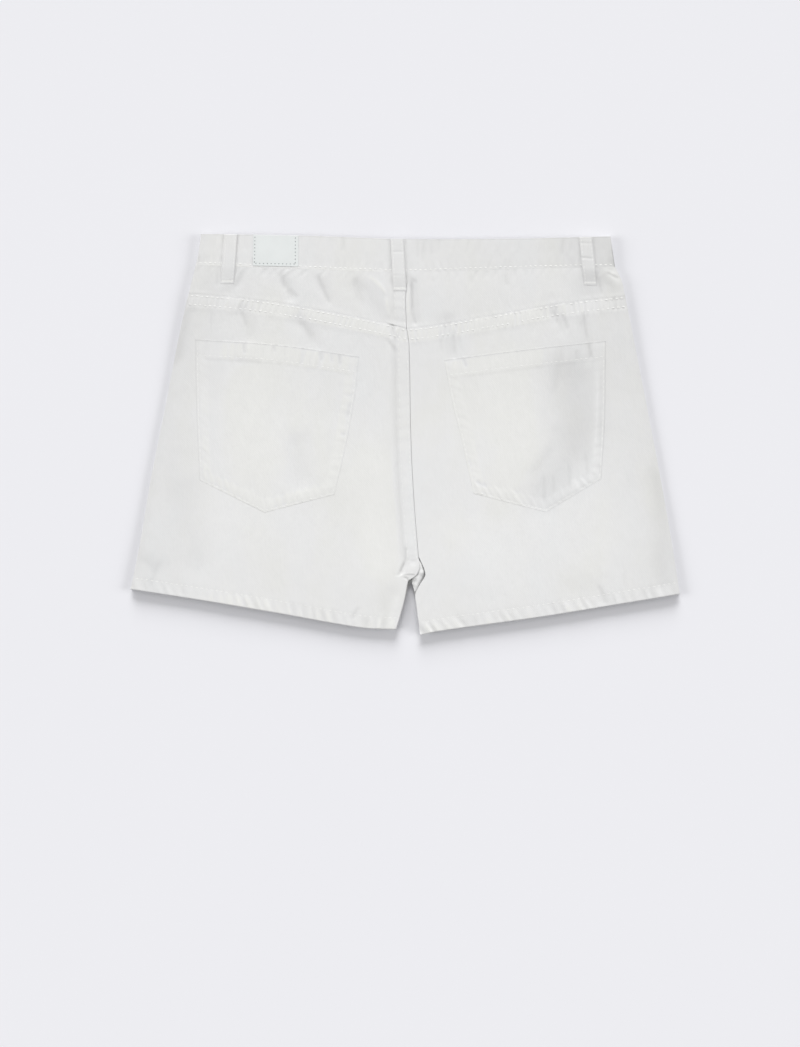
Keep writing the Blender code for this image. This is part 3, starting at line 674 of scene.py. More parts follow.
def rolled(distance, wall, part=0.5):
    """How much a folded edge's face bends in by a part of its wall, at a distance from the edge."""
    share = np.clip(distance / (1.1 * part * wall), 0.0, 1.0)
    return part * wall * (1.0 - np.sqrt(1.0 - 0.97 * (1.0 - share) ** 2))


def drape_tone(x, y, creases=()):
    """Painted shade of folds and creases and near the garment's sides and rim, as a share of its colour;
    raised folds are painted paler.
    """
    below_waist = smooth_step(-above_waist_seam(x, y) / 7.0)
    dark = FOLD_TONE * fold_lift(x, y) + CREASE_TONE * crease_lift(x, y, BACK_CREASES)
    dark = dark * below_waist + CREASE_TONE * crease_lift(x, y, creases)
    distance = side_distance(x, y)
    sides = SIDE_TONE * smooth_step(1.0 - distance / SIDE_TONE_REACH)
    return dark - sides - RIM_TONE * smooth_step(1.0 - distance / RIM_TONE_REACH)


def insets(pitch, *stops):
    """Distances in from an edge: every stop, with even steps of at most the pitch between them."""
    lines = [stops[0]]
    for low, high in zip(stops, stops[1:]):
        steps = max(1, math.ceil((high - low) / pitch - 0.01))
        lines += [low + (high - low) * step / steps for step in range(1, steps + 1)]
    return tuple(lines)


def band_lines(pitch, depth, start=0.0):
    """Grid lines over a folded band: close at its edge and where its wall steps down."""
    step = depth + PLY_STEP
    return insets(pitch, start, start + 0.15, start + 0.45, start + 0.9, start + 1.6, depth, step)


def fold_lines(pitch, start=0.0):
    """Grid lines beside a plain folded edge."""
    return insets(pitch, start, start + 0.15, start + 0.4, start + 0.8, start + 1.4, start + 2.6)


class Panel:
    """A cut piece: a grid between four edges, and the form of its two faces over that grid.

    edges holds left, bottom, right and top; columns and rows are (near insets, far insets), the lines that
    stand in from the two ends. form holds functions of a Place: lower and level are its plain faces, relief
    what puckers and grooves add to the upper one, bends what its edges take away, and tone the painted
    shade and painted highlight that darken or lighten its colour. grain is the warp's turn in degrees; via is
    a fraction that is always one of the columns.
    """

    def __init__(self, name, edges, columns, rows, form, pitch, row_pitch=None, grain=0.0, via=None):
        self.name, self.form, self.grain, self.via = name, form, grain, via
        self.edges = {key: edge_curve(points) for key, points in edges.items()}
        left, bottom, right, top = (self.edges[key] for key in EDGE_KEYS)
        ends = np.array([0.0, 1.0])
        sizes = [np.hypot(*(b - a)) for curve in (bottom, top, left, right) for a, b in [curve(ends)]]
        self.mean_width, self.mean_height = 0.5 * (sizes[0] + sizes[1]), 0.5 * (sizes[2] + sizes[3])
        self.columns = self.spaced(columns, self.mean_width, pitch)
        self.rows = self.spaced(rows, self.mean_height, row_pitch or pitch)

    @staticmethod
    def spaced(insets_at_ends, length, pitch):
        """(near insets, count of even spaces, far insets), with the even spaces about a pitch wide."""
        near, far = insets_at_ends
        return near, max(1, round((length - near[-1] - far[-1]) / pitch)), far

    @staticmethod
    def segments(spacing):
        near, count, far = spacing
        return len(near) + count + len(far) - 2

    def stations(self, length, spacing, index, via=None):
        """The fraction of a length at which each grid line stands."""
        near, count, far = spacing
        low, high = near[-1] / length, 1.0 - far[-1] / length
        step = index - len(near) + 1.0
        if via is None:
            between = low + (high - low) * step / count
        else:
            before = max(1, round(count * (via - np.mean(low)) / np.mean(high - low)))
            first = low + (via - low) * step / before
            between = np.where(step <= before, first, via + (high - via) * (step - before) / (count - before))
        back = self.segments(spacing) - index
        near_line = np.array(near)[np.minimum(index, len(near) - 1)] / length
        far_line = 1.0 - np.array(far)[np.minimum(back, len(far) - 1)] / length
        return np.where(index < len(near), near_line, np.where(back < len(far), far_line, between))

    def spot(self, u, v):
        """The Place at fractions u across and v up."""
        left, bottom, right, top = (self.edges[key] for key in EDGE_KEYS)
        ends = np.array([0.0, 1.0])
        low, high = bottom(ends), top(ends)
        across, up = u[..., None], v[..., None]
        low_corners = low[0] * (1 - across) + low[1] * across
        high_corners = high[0] * (1 - across) + high[1] * across
        left_v, right_v, bottom_u, top_u = left(v), right(v), bottom(u), top(u)
        flat = bottom_u * (1 - up) + top_u * up + left_v * (1 - across) + right_v * across
        flat -= low_corners * (1 - up) + high_corners * up
        width = apart(left_v, right_v)
        height = apart(bottom_u, top_u)
        return Place(flat[..., 0], flat[..., 1], u * width, (1 - u) * width, v * height, (1 - v) * height)

    def grid(self, column, row):
        """Fractions u and v at grid line numbers."""
        v_guess = row / self.segments(self.rows)
        width = apart(self.edges["left"](v_guess), self.edges["right"](v_guess))
        u = self.stations(width, self.columns, column, self.via)
        height = apart(self.edges["bottom"](u), self.edges["top"](u))
        return u, self.stations(height, self.rows, row)

    def outline_area(self):
        """The panel's area in square metres, from its outline."""
        t = np.linspace(0.0, 1.0, OUTLINE_SAMPLES)
        left, bottom, right, top = (self.edges[key](t) for key in EDGE_KEYS)
        x, y = np.concatenate((bottom, right, top[::-1], left[::-1])).T * MM
        return 0.5 * abs(np.dot(x, np.roll(y, -1)) - np.dot(y, np.roll(x, -1)))

    def size(self):
        """The panel's width and length in metres, as its outline's box."""
        t = np.linspace(0.0, 1.0, OUTLINE_SAMPLES)
        points = np.concatenate([curve(t) for curve in self.edges.values()]) * MM
        return tuple(np.ptp(points, axis=0))

    def build(self, material, inner=0.0):
        """The panel as an object: a grid, extruded into a wall, with its points set on the two faces.

        inner is how much darker the lower face is than the upper one, a painted shade on the face underneath.
        """
        columns, rows = self.segments(self.columns), self.segments(self.rows)
        wall = bmesh.new()
        bmesh.ops.create_grid(wall, x_segments=columns, y_segments=rows, size=0.5)
        grown = bmesh.ops.extrude_face_region(wall, geom=wall.faces[:])
        raised = [item for item in grown["geom"] if isinstance(item, bmesh.types.BMVert)]
        bmesh.ops.translate(wall, verts=raised, vec=(0.0, 0.0, 1.0))
        bmesh.ops.recalc_face_normals(wall, faces=wall.faces[:])
        mesh = bpy.data.meshes.new(self.name)
        wall.to_mesh(mesh)
        wall.free()
        points = np.empty(len(mesh.vertices) * 3, np.float32)
        mesh.vertices.foreach_get("co", points)
        points = points.reshape(-1, 3).astype(float)
        column = np.rint((points[:, 0] + 0.5) * columns).astype(int)
        row = np.rint((points[:, 1] + 0.5) * rows).astype(int)
        place = self.spot(*self.grid(column, row))
        outer = points[:, 2] > 0.5
        height = np.where(outer, self.upper(place), self.form.lower(place))
        points = np.stack((place.x, place.y, height), axis=1) * MM
        mesh.vertices.foreach_set("co", points.astype(np.float32).ravel())
        self.lay_grain(mesh, place)
        # The tone attribute is painted shade and painted highlight: the crests of puckers are painted paler,
        # their dips, grooves and bent edges darker, each piece's own painted tone is added, and the lower
        # face is darker by inner.
        painted_shade = RELIEF_TONE * self.form.relief(place) - EDGE_TONE * self.form.bends(place)
        painted_shade += self.form.tone(place) - np.where(outer, 0.0, inner)
        tone = mesh.attributes.new("tone", "FLOAT", "POINT")
        tone.data.foreach_set("value", np.clip(1.0 + painted_shade, TONE_LOW, TONE_HIGH).astype(np.float32))
        return add_piece(self.name, mesh, material)

    def upper(self, place):
        return self.form.level(place) + self.form.relief(place) - self.form.bends(place)

    def lay_grain(self, mesh, place):
        """A UV map, in units of GRAIN_UNIT millimetres, that runs with the warp."""
        turn = math.radians(self.grain)
        u = (place.x * math.cos(turn) - place.y * math.sin(turn)) / GRAIN_UNIT
        v = (place.x * math.sin(turn) + place.y * math.cos(turn)) / GRAIN_UNIT
        corners = np.empty(len(mesh.loops), np.int32)
        mesh.loops.foreach_get("vertex_index", corners)
        layer = mesh.uv_layers.new(name="grain")
        layer.data.foreach_set("uv", np.stack((u, v), axis=1)[corners].astype(np.float32).ravel())

    def seam_line(self, row):
        """Places along a row of stitches, close together."""
        level = row.edge in ("bottom", "top")
        reach = self.mean_width if level else self.mean_height
        low, high = ("bottom", "top") if level else ("left", "right")
        t = (row.start + (reach - row.start - row.end) * np.linspace(0.0, 1.0, SEAM_SAMPLES)) / reach
        across = row.inset / apart(self.edges[low](t), self.edges[high](t))
        across = across if row.edge == low else 1.0 - across
        return self.spot(t, across) if level else self.spot(across, t)


def add_piece(name, mesh, material):
    """An object for a mesh, shaded smooth but for its sharp edges, riding on the garment's one body."""
    mesh.materials.clear()
    mesh.materials.append(material)
    mesh.shade_smooth()
    mesh.set_sharp_from_angle(angle=math.radians(SHARP_DEGREES))
    piece = bpy.data.objects.new(name, mesh)
    bpy.context.scene.collection.objects.link(piece)
    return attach(piece, "root")


def stitch_template():
    """One stitch: a small round-ended bar of unit length along X."""
    bar = bmesh.new()
    bmesh.ops.create_uvsphere(bar, u_segments=6, v_segments=4, radius=0.5)
    bmesh.ops.rotate(bar, verts=bar.verts[:], matrix=Matrix.Rotation(math.radians(90.0), 3, "Y"))
    bar.verts.index_update()
    points = np.array([vert.co[:] for vert in bar.verts])
    faces = [[vert.index for vert in face.verts] for face in bar.faces]
    bar.free()
    return points, faces


def sew(panel, name, rows, material, seed, length=None, width=None, pitch=None):
    """Stitches in rows on a panel's upper face, as one joined mesh."""
    sizes = bpy.context.scene.shorts_sizes
    length, width = length or sizes.stitch_length, width or sizes.stitch_width
    pitch = pitch or sizes.stitch_pitch
    template, template_faces = stitch_template()
    draws = np.random.default_rng(seed)
    points, faces = [], []
    for row in rows:
        line = panel.seam_line(row)
        run = np.concatenate(([0.0], np.cumsum(np.hypot(np.diff(line.x), np.diff(line.y)))))
        count = int(run[-1] / pitch)
        middles = (np.arange(count) + 0.5) * run[-1] / count
        top = panel.upper(line)
        for middle in middles:
            ends = middle + np.array([-0.5, 0.5]) * length
            x, y, z = (np.interp(ends, run, values) for values in (line.x, line.y, top))
            centre = np.array([np.interp(middle, run, values) for values in (line.x, line.y, top)])
            forward = np.array([x[1] - x[0], y[1] - y[0], z[1] - z[0]])
            forward /= np.linalg.norm(forward)
            lean = draws.normal(0.0, 0.05)
            side = np.array([-forward[1], forward[0], 0.0])
            forward = forward + side * lean
            forward /= np.linalg.norm(forward)
            side = np.cross((0.0, 0.0, 1.0), forward)
            side /= np.linalg.norm(side)
            up = np.cross(forward, side)
            scale = length * (1.0 + draws.normal(0.0, 0.04))
            bar = template * (scale, width, 0.4 * width)
            centre = centre + up * 0.05 * width
            first = len(points) * len(template)
            points.append(centre + bar[:, :1] * forward + bar[:, 1:2] * side + bar[:, 2:] * up)
            faces += [[first + index for index in face] for face in template_faces]
    mesh = bpy.data.meshes.new(name)
    mesh.from_pydata((np.concatenate(points) * MM).tolist(), [], faces)
    mesh.update()
    stitches = add_piece(name, mesh, material)
    return stitches


def lay(panel, piece, node):
    """Hides the solid that the piece stands for, and works out the panel's size and area without keeping
    them.
    """
    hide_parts(node)
    panel.size()
    panel.outline_area()


def new_group(name, inputs, outputs):
    """An empty shader node group with named sockets."""
    group = bpy.data.node_groups.new(name, "ShaderNodeTree")
    for socket, kind, value in inputs:
        made = group.interface.new_socket(name=socket, in_out="INPUT", socket_type=kind)
        if value is not None:
            made.default_value = value
    for socket, kind in outputs:
        group.interface.new_socket(name=socket, in_out="OUTPUT", socket_type=kind)
    return group, group.nodes.new("NodeGroupInput"), group.nodes.new("NodeGroupOutput")


def maths(tree, operation, first, second=None, clamp=False):
    """A Math node's output; first and second are sockets or numbers."""
    node = tree.nodes.new("ShaderNodeMath")
    node.operation = operation
    node.use_clamp = clamp
    for index, value in enumerate((first, second)):
        if isinstance(value, (int, float)):
            node.inputs[index].default_value = value
        elif value is not None:
            tree.links.new(value, node.inputs[index])
    return node.outputs[0]


def noise(tree, vector, scale, detail=2.0, roughness=0.5):
    node = tree.nodes.new("ShaderNodeTexNoise")
    node.inputs["Scale"].default_value = scale
    node.inputs["Detail"].default_value = detail
    node.inputs["Roughness"].default_value = roughness
    tree.links.new(vector, node.inputs["Vector"])
    return node.outputs["Fac"]


def ramp(tree, factor, stops):
    """A colour ramp's output over stops of (position, colour)."""
    node = tree.nodes.new("ShaderNodeValToRGB")
    elements = node.color_ramp.elements
    while len(elements) < len(stops):
        elements.new(0.5)
    for element, (position, colour) in zip(elements, stops):
        element.position = position
        element.color = (*colour, 1.0)
    tree.links.new(factor, node.inputs["Fac"])
    return node.outputs["Color"]


def twill_weave():
    """Three-up, one-down twill: each warp yarn floats over three wefts, one step on from its neighbour."""
    group = bpy.data.node_groups.get("Twill weave")
    if group:
        return group
    inputs = (("Grain", "NodeSocketVector", None), ("Yarn mm", "NodeSocketFloat", 0.55))
    group, given, made = new_group("Twill weave", inputs, (("Height", "NodeSocketFloat"),))
    axes = group.nodes.new("ShaderNodeSeparateXYZ")
    group.links.new(given.outputs["Grain"], axes.inputs[0])
    yarn = given.outputs["Yarn mm"]
    warp = maths(group, "DIVIDE", maths(group, "MULTIPLY", axes.outputs["X"], GRAIN_UNIT), yarn)
    weft = maths(group, "DIVIDE", maths(group, "MULTIPLY", axes.outputs["Y"], GRAIN_UNIT), yarn)
    number = maths(group, "FLOOR", warp)
    beside = maths(group, "FRACT", warp)
    float_place = maths(group, "FRACT", maths(group, "DIVIDE", maths(group, "ADD", weft, number), 4.0))
    round_yarn = maths(group, "SINE", maths(group, "MULTIPLY", beside, math.pi))
    over = maths(group, "DIVIDE", float_place, 0.75)
    arch = maths(group, "SINE", maths(group, "MULTIPLY", maths(group, "MINIMUM", over, 1.0), math.pi))
    crown = maths(group, "ADD", maths(group, "MULTIPLY", arch, 0.6), 0.4)
    on_top = maths(group, "LESS_THAN", float_place, 0.75)
    height = maths(group, "MULTIPLY", maths(group, "MULTIPLY", round_yarn, crown), on_top)
    group.links.new(height, made.inputs["Height"])
    return group


def cloth_tone():
    """Slow warm and cool drifts over the cloth, and faint streaks along its warp."""
    group = bpy.data.node_groups.get("Cloth tone")
    if group:
        return group
    inputs = (("Grain", "NodeSocketVector", None), ("Place", "NodeSocketVector", None))
    names = ("Drift", "Streaks", "Patches", "Crumple")
    outputs = tuple((output, "NodeSocketFloat") for output in names)
    group, given, made = new_group("Cloth tone", inputs, outputs)
    place = given.outputs["Place"]
    tall = group.nodes.new("ShaderNodeMapping")
    tall.inputs["Scale"].default_value = (1.0, 0.45, 1.0)
    group.links.new(place, tall.inputs["Vector"])
    group.links.new(noise(group, tall.outputs["Vector"], 20.0, 3.0, 0.55), made.inputs["Drift"])
    group.links.new(noise(group, tall.outputs["Vector"], 75.0, 3.0, 0.6), made.inputs["Patches"])
    group.links.new(noise(group, tall.outputs["Vector"], 150.0, 2.0, 0.5), made.inputs["Crumple"])
    stretch = group.nodes.new("ShaderNodeMapping")
    stretch.inputs["Scale"].default_value = (90.0, 4.0, 1.0)
    group.links.new(given.outputs["Grain"], stretch.inputs["Vector"])
    group.links.new(noise(group, stretch.outputs["Vector"], 1.0, 2.0, 0.6), made.inputs["Streaks"])
    return group


def place_group(tree, group, links):
    node = tree.nodes.new("ShaderNodeGroup")
    node.node_tree = group
    for socket, value in links.items():
        if isinstance(value, (int, float)):
            node.inputs[socket].default_value = value
        else:
            tree.links.new(value, node.inputs[socket])
    return node


def new_material(name):
    """(material, its node tree, its shader), with the default nodes."""
    material = bpy.data.materials.new(name)
    material.use_nodes = True
    return material, material.node_tree, material.node_tree.nodes["Principled BSDF"]


def object_place(tree):
    """The object coordinates' socket."""
    return tree.nodes.new("ShaderNodeTexCoord").outputs["Object"]


def mottle(tree, shader, factor, colour, dull_part, low):
    """Colours a shader from a duller share of a colour to the colour itself, between low and 1 - low."""
    dull = tuple(dull_part * part for part in colour)
    mottled = ramp(tree, factor, ((low, dull), (1.0 - low, colour)))
    tree.links.new(mottled, shader.inputs["Base Color"])


def bump(tree, shader, height, strength, distance):
    node = tree.nodes.new("ShaderNodeBump")
    node.inputs["Strength"].default_value = strength
    node.inputs["Distance"].default_value = distance
    tree.links.new(height, node.inputs["Height"])
    tree.links.new(node.outputs["Normal"], shader.inputs["Normal"])


def white_denim():
    """White cotton twill: fine diagonal weave, slight streaks and slow tone changes."""
    material = bpy.data.materials.get("white_denim_twill")
    if material:
        return material
    sizes, colours = bpy.context.scene.shorts_sizes, bpy.context.scene.shorts_colours
    material, tree, shader = new_material("white_denim_twill")
    grain = tree.nodes.new("ShaderNodeUVMap")
    grain.uv_map = "grain"
    place = object_place(tree)
    weave = place_group(tree, twill_weave(), {"Grain": grain.outputs["UV"], "Yarn mm": sizes.yarn})
    tone = place_group(tree, cloth_tone(), {"Grain": grain.outputs["UV"], "Place": place})
    warm, base, cool = colours.cloth_warm, colours.cloth, colours.cloth_cool
    painted_shade = tree.nodes.new("ShaderNodeAttribute")
    painted_shade.attribute_name = "tone"
    # Where the tone attribute's painted highlight lifts it above 1, the colour drifts towards the warm one.
    high = maths(tree, "MULTIPLY", maths(tree, "SUBTRACT", painted_shade.outputs["Fac"], 1.0), 12.0, True)
    drift = ramp(
        tree, maths(tree, "SUBTRACT", tone.outputs["Drift"], high), ((0.3, warm), (0.5, base), (0.7, cool))
    )
    # Painted shade between the yarns: the colour darkens where the weave lies low. Streaks and patches are
    # the cloth's own tone, and the tone attribute's painted shade and highlight multiply it all.
    shade = maths(tree, "ADD", maths(tree, "MULTIPLY", weave.outputs["Height"], 0.03), 0.965)
    shade = maths(tree, "ADD", shade, maths(tree, "MULTIPLY", tone.outputs["Streaks"], 0.02))
    shade = maths(tree, "ADD", shade, maths(tree, "MULTIPLY", tone.outputs["Patches"], 0.04))
    shade = maths(tree, "MULTIPLY", shade, painted_shade.outputs["Fac"])
    tint = tree.nodes.new("ShaderNodeMix")
    tint.data_type = "RGBA"
    tint.blend_type = "MULTIPLY"
    tint.inputs["Factor"].default_value = 1.0
    tree.links.new(drift, tint.inputs["A"])
    tree.links.new(shade, tint.inputs["B"])
    tree.links.new(tint.outputs["Result"], shader.inputs["Base Color"])
    shader.inputs["Roughness"].default_value = 0.92
    shader.inputs["Specular IOR Level"].default_value = 0.2
    yarns = maths(tree, "MULTIPLY", weave.outputs["Height"], 0.04)
    crumple = maths(tree, "MULTIPLY", tone.outputs["Crumple"], 0.3)
    bump(tree, shader, maths(tree, "ADD", yarns, crumple), 1.0, 0.001)
    return material


def sewing_thread(name, colour, scale, dull_part, roughness):
    """A sewing thread with a slight twist; each is made once."""
    material = bpy.data.materials.get(name)
    if material:
        return material
    material, tree, shader = new_material(name)
    twist = noise(tree, object_place(tree), scale, 1.0)
    mottle(tree, shader, twist, colour, dull_part, 0.3)
    shader.inputs["Roughness"].default_value = roughness
    return material


def white_thread():
    """The cotton thread of the topstitching."""
    return sewing_thread("white_thread", bpy.context.scene.shorts_colours.thread, 900.0, 0.93, 0.6)


def patch_thread():
    """The patch's thread, coloured dark as painted shade of the needle holes it sits in."""
    colour = bpy.context.scene.shorts_colours.patch_thread
    return sewing_thread("patch_thread", colour, 600.0, 0.8, 0.7)


def pressed_patch():
    """A smooth pressed patch with a fine pebbled face."""
    material, tree, shader = new_material("pressed_patch")
    place = object_place(tree)
    mottle(tree, shader, noise(tree, place, 60.0, 3.0), bpy.context.scene.shorts_colours.patch, 0.97, 0.35)
    shader.inputs["Roughness"].default_value = 0.62
    shader.inputs["Specular IOR Level"].default_value = 0.35
    bump(tree, shader, noise(tree, place, 1400.0, 2.0), 0.25, 0.00008)
    return material


def button_metal():
    """Brushed metal with fine turned rings."""
    material, tree, shader = new_material("button_metal")
    place = object_place(tree)
    centre = tree.nodes.new("ShaderNodeMapping")
    centre.inputs["Location"].default_value = (-BUTTON_X * MM, -BUTTON_Y * MM, 0.0)
    tree.links.new(place, centre.inputs["Vector"])
    rings = tree.nodes.new("ShaderNodeTexWave")
    rings.wave_type = "RINGS"
    rings.rings_direction = "Z"
    rings.inputs["Scale"].default_value = 900.0
    rings.inputs["Distortion"].default_value = 0.6
    tree.links.new(centre.outputs["Vector"], rings.inputs["Vector"])
    mottle(tree, shader, rings.outputs["Fac"], bpy.context.scene.shorts_colours.metal, 0.82, 0.2)
    shader.inputs["Metallic"].default_value = 1.0
    shader.inputs["Roughness"].default_value = 0.34
    bump(tree, shader, rings.outputs["Fac"], 0.15, 0.00003)
    return material


def amount(name, description, default, lowest=0.0):
    """A number's setting."""
    return bpy.props.FloatProperty(name=name, description=description, default=default, min=lowest)


def angle(name, description, degrees):
    """An angle's setting, from its default in degrees."""
    return bpy.props.FloatProperty(
        name=name, description=description, subtype="ANGLE", default=math.radians(degrees)
    )


def tint(name, description, *colour):
    """A colour's setting."""
    return bpy.props.FloatVectorProperty(name=name, description=description, subtype="COLOR", default=colour)


class ShortsSizes(bpy.types.PropertyGroup):
    grid_pitch: amount("Grid pitch", "Spacing of the back panels' mesh lines in mm", 1.3, 0.8)
    plain_pitch: amount("Plain pitch", "Spacing of the hidden front's mesh lines in mm", 4.0, 1.0)
    pucker_height: amount("Pucker height", "Height of the ripples along seams in mm", 0.32)
    stitch_length: amount("Stitch length", "Length of a stitch that shows in mm", 2.8, 0.5)
    stitch_width: amount("Thread width", "Thickness of the sewing thread in mm", 0.95, 0.1)
    stitch_pitch: amount("Stitch pitch", "Distance from stitch to stitch in mm", 4.75, 1.0)
    yarn: amount("Yarn pitch", "Distance from warp yarn to warp yarn in mm", 0.55, 0.1)


class ShortsColours(bpy.types.PropertyGroup):
    cloth: tint("Cloth", "The denim's main colour", 0.785, 0.785, 0.782)
    cloth_warm: tint("Warm cloth", "The denim where it is warmer", 0.780, 0.780, 0.763)
    cloth_cool: tint("Cool cloth", "The denim where it is cooler", 0.780, 0.785, 0.787)
    thread: tint("Thread", "The topstitching's colour", 0.93, 0.93, 0.91)
    patch: tint("Patch", "The waistband patch's colour", 0.785, 0.812, 0.806)
    # The patch thread's dark colour is painted shade of its needle holes.
    patch_thread: tint("Patch thread", "The patch's stitches", 0.40, 0.44, 0.44)
    metal: tint("Metal", "The button's metal", 0.62, 0.61, 0.59)
    floor: tint("Floor", "The ground that the garment lies on", 0.838, 0.838, 0.871)


class ShortsStage(bpy.types.PropertyGroup):
    key_strength: amount("Key light", "Strength of the low soft light", 3.24)
    key_elevation: angle("Key height", "The key light's angle above the surface", 22.5)
    key_turn: angle("Key turn", "How far left the key light stands", 1.0)
    key_softness: angle("Softness", "The angular width of the key and side lights", 28.0)
    side_strength: amount("Side lights", "Strength of the two soft lights beside the garment", 1.2)
    side_elevation: angle("Side height", "The side lights' angle above the surface", 25.0)
    fill: amount("Fill light", "Strength of the even light from all round", 0.297)


def back_leg_panels():
    """The two back panels; the left one carries the felled seat ridge and the crotch's short tab."""
    sizes = bpy.context.scene.shorts_sizes
    pitch, height = sizes.grid_pitch, sizes.pucker_height

    def form(ridge, seed):
        def felled_share(place):
            return smooth_step((place.bottom - RIDGE_FOOT) / 5.0) if ridge else 0.0

        def lower(place):
            under = back_under(place.x, place.y) + rolled(place.bottom, HEM_WALL)
            side = place.left if ridge else place.right
            return under + rolled(place.top, CLOTH, 0.5) + rolled(side, CLOTH, 0.85)

        def level(place):
            wall = np.maximum(
                banded(place.top, FELLED_DEPTH, FELLED_WALL, step=FELLED_STEP),
                banded(place.bottom, HEM_DEPTH, HEM_WALL, step=HEM_STEP),
            )
            if ridge:
                felled = CLOTH + (banded(place.right, RIDGE_WIDTH, RIDGE_WALL) - CLOTH) * felled_share(place)
                wall = np.maximum(wall, felled)
            return back_under(place.x, place.y) + wall - pocket_sunk(place.x, place.y)

        def relief(place):
            inner = smooth_step(1.0 - (place.right if ridge else place.left) / 160.0)
            low = smooth_step(1.3 - place.bottom / 10.0)
            hem = puckers(place.left, place.bottom, HEM_DEPTH, height, 4.8, 0.4, seed)
            hem *= (2.5 if ridge else 2.1) * (0.75 + 0.35 * inner) * (0.15 + 0.85 * low)
            lean, drawn = (0.1, 0.65) if ridge else (0.12, 1.05)
            felled = puckers(place.left, place.top, FELLED_DEPTH, drawn * height, 2.8, lean, seed + 10)
            felled *= smooth_step(place.top / 2.5)
            stitched = groove(place.bottom, HEM_STITCH, 0.05) - 0.1 * bell(place.top, 0.7)
            for inset in FELLED_STITCHES:
                stitched += groove(place.top, inset, 0.05)
            total = hem + felled + stitched
            if ridge:
                low_end = 0.5 + 1.3 * smooth_step((95.0 - place.bottom) / 25.0)
                along = 0.45 * height * low_end * felled_share(place)
                total += puckers(place.bottom, place.right, RIDGE_WIDTH, along, 5.5, 0.1, seed + 20)
                border = 0.55 * bell(place.right - RIDGE_WIDTH - 2.2, 3.0)
                stitched = sum(groove(place.right, inset) for inset in RIDGE_STITCHES)
                total += felled_share(place) * (stitched - border)
                total += crease_lift(place.x, place.y, CROTCH_CREASES)
            return total

        def bends(place):
            edges = rolled(place.bottom, HEM_WALL) + rolled(place.top, CLOTH, 0.03)
            return edges + (rolled(place.right, RIDGE_WALL, 0.4) if ridge else rolled(place.left, CLOTH, 0.3))

        def tone(place):
            # Painted shadow in the fold of the yoke seam and beside the seat ridge's right edge, and painted
            # shade over the lower leg where its rise faces the key light; the right leg is a little darker
            # near its hem and the felled band a little paler.
            seam = 0.13 * bell(place.top, 0.9)
            if not ridge:
                seam = seam + 0.012 * smooth_step(1.3 - place.bottom / 14.0)
            band = BAND_TONE * banded(place.top, FELLED_DEPTH, 1.0, 0.0)
            low = smooth_step(1.0 - (place.bottom - 20.0) / 90.0) * smooth_step(place.bottom / 20.0)
            ridge_shadow = 0.06 * bell(place.right, 1.0) if ridge else 0.0
            return drape_tone(place.x, place.y) + band - seam - HEM_TONE * low - ridge_shadow

        return Form(lower, level, relief, bends, tone)

    left_edges = left_half(HEM_LEFT, INSEAM_LEFT + SEAT_SEAM, YOKE_SEAM_LEFT)
    right_edges = right_half(HEM_RIGHT, INSEAM_RIGHT + SEAT_SEAM, YOKE_SEAM_RIGHT)
    felled = band_lines(pitch, FELLED_DEPTH, SEAM_CLOSE)
    crotch_rows = insets(0.8, 42.0, 66.0)
    hem = band_lines(pitch, HEM_DEPTH) + insets(pitch, 16.5, 42.0) + crotch_rows[1:]
    long_hem = band_lines(pitch, HEM_DEPTH) + insets(pitch, 16.5, 42.0 + RIGHT_LEG_LONGER)
    long_hem += tuple(row + RIGHT_LEG_LONGER for row in crotch_rows[1:])
    ridge_lines = insets(0.9, 0.0, 0.15, 0.45, 0.9, 1.6, RIDGE_WIDTH, RIDGE_WIDTH + 6.0)
    seam_lines = insets(0.9, CENTRE_GAP, CENTRE_GAP + 0.2, CENTRE_GAP + 0.6, 6.0)
    side = fold_lines(pitch)
    fine = 0.8 * pitch
    legs = (
        ("back_leg_left", left_edges, (side, ridge_lines), (hem, felled), form(True, 11)),
        ("back_leg_right", right_edges, (seam_lines, side), (long_hem, felled), form(False, 47)),
    )
    return [Panel(*leg, fine, row_pitch=1.6 * pitch) for leg in legs]


class SHORTS_OT_back_legs(bpy.types.Operator):
    """Add the two back panels with their hems, felled seams and stitching"""

    bl_idname = "shorts.back_legs"
    bl_label = "Add back legs"

    def execute(self, context):
        left, right = back_leg_panels()
        hem = (Row("bottom", HEM_STITCH, 1.5, 1.5),)
        felled = (
            Row("top", FELLED_STITCHES[0], 1.5, 1.5),
            Row("top", FELLED_STITCHES[1], 1.5, 1.5),
        )
        for panel, seed in ((left, 5), (right, 6)):
            piece = panel.build(white_denim(), INNER_TONE)
            name, thread = panel.name, white_thread()
            threads = [sew(panel, name + "_felled_stitches", felled, thread, seed)]
            threads.append(sew(panel, name + "_hem_stitches", hem, thread, seed + 2, width=HEM_THREAD))
            if panel is left:
                ridge = [Row("right", inset, 66.0, 1.5) for inset in RIDGE_STITCHES]
                threads.append(sew(panel, "ridge_stitches", ridge, white_thread(), 16, width=FINE_THREAD))
            lay(panel, piece, name)
        return {"FINISHED"}


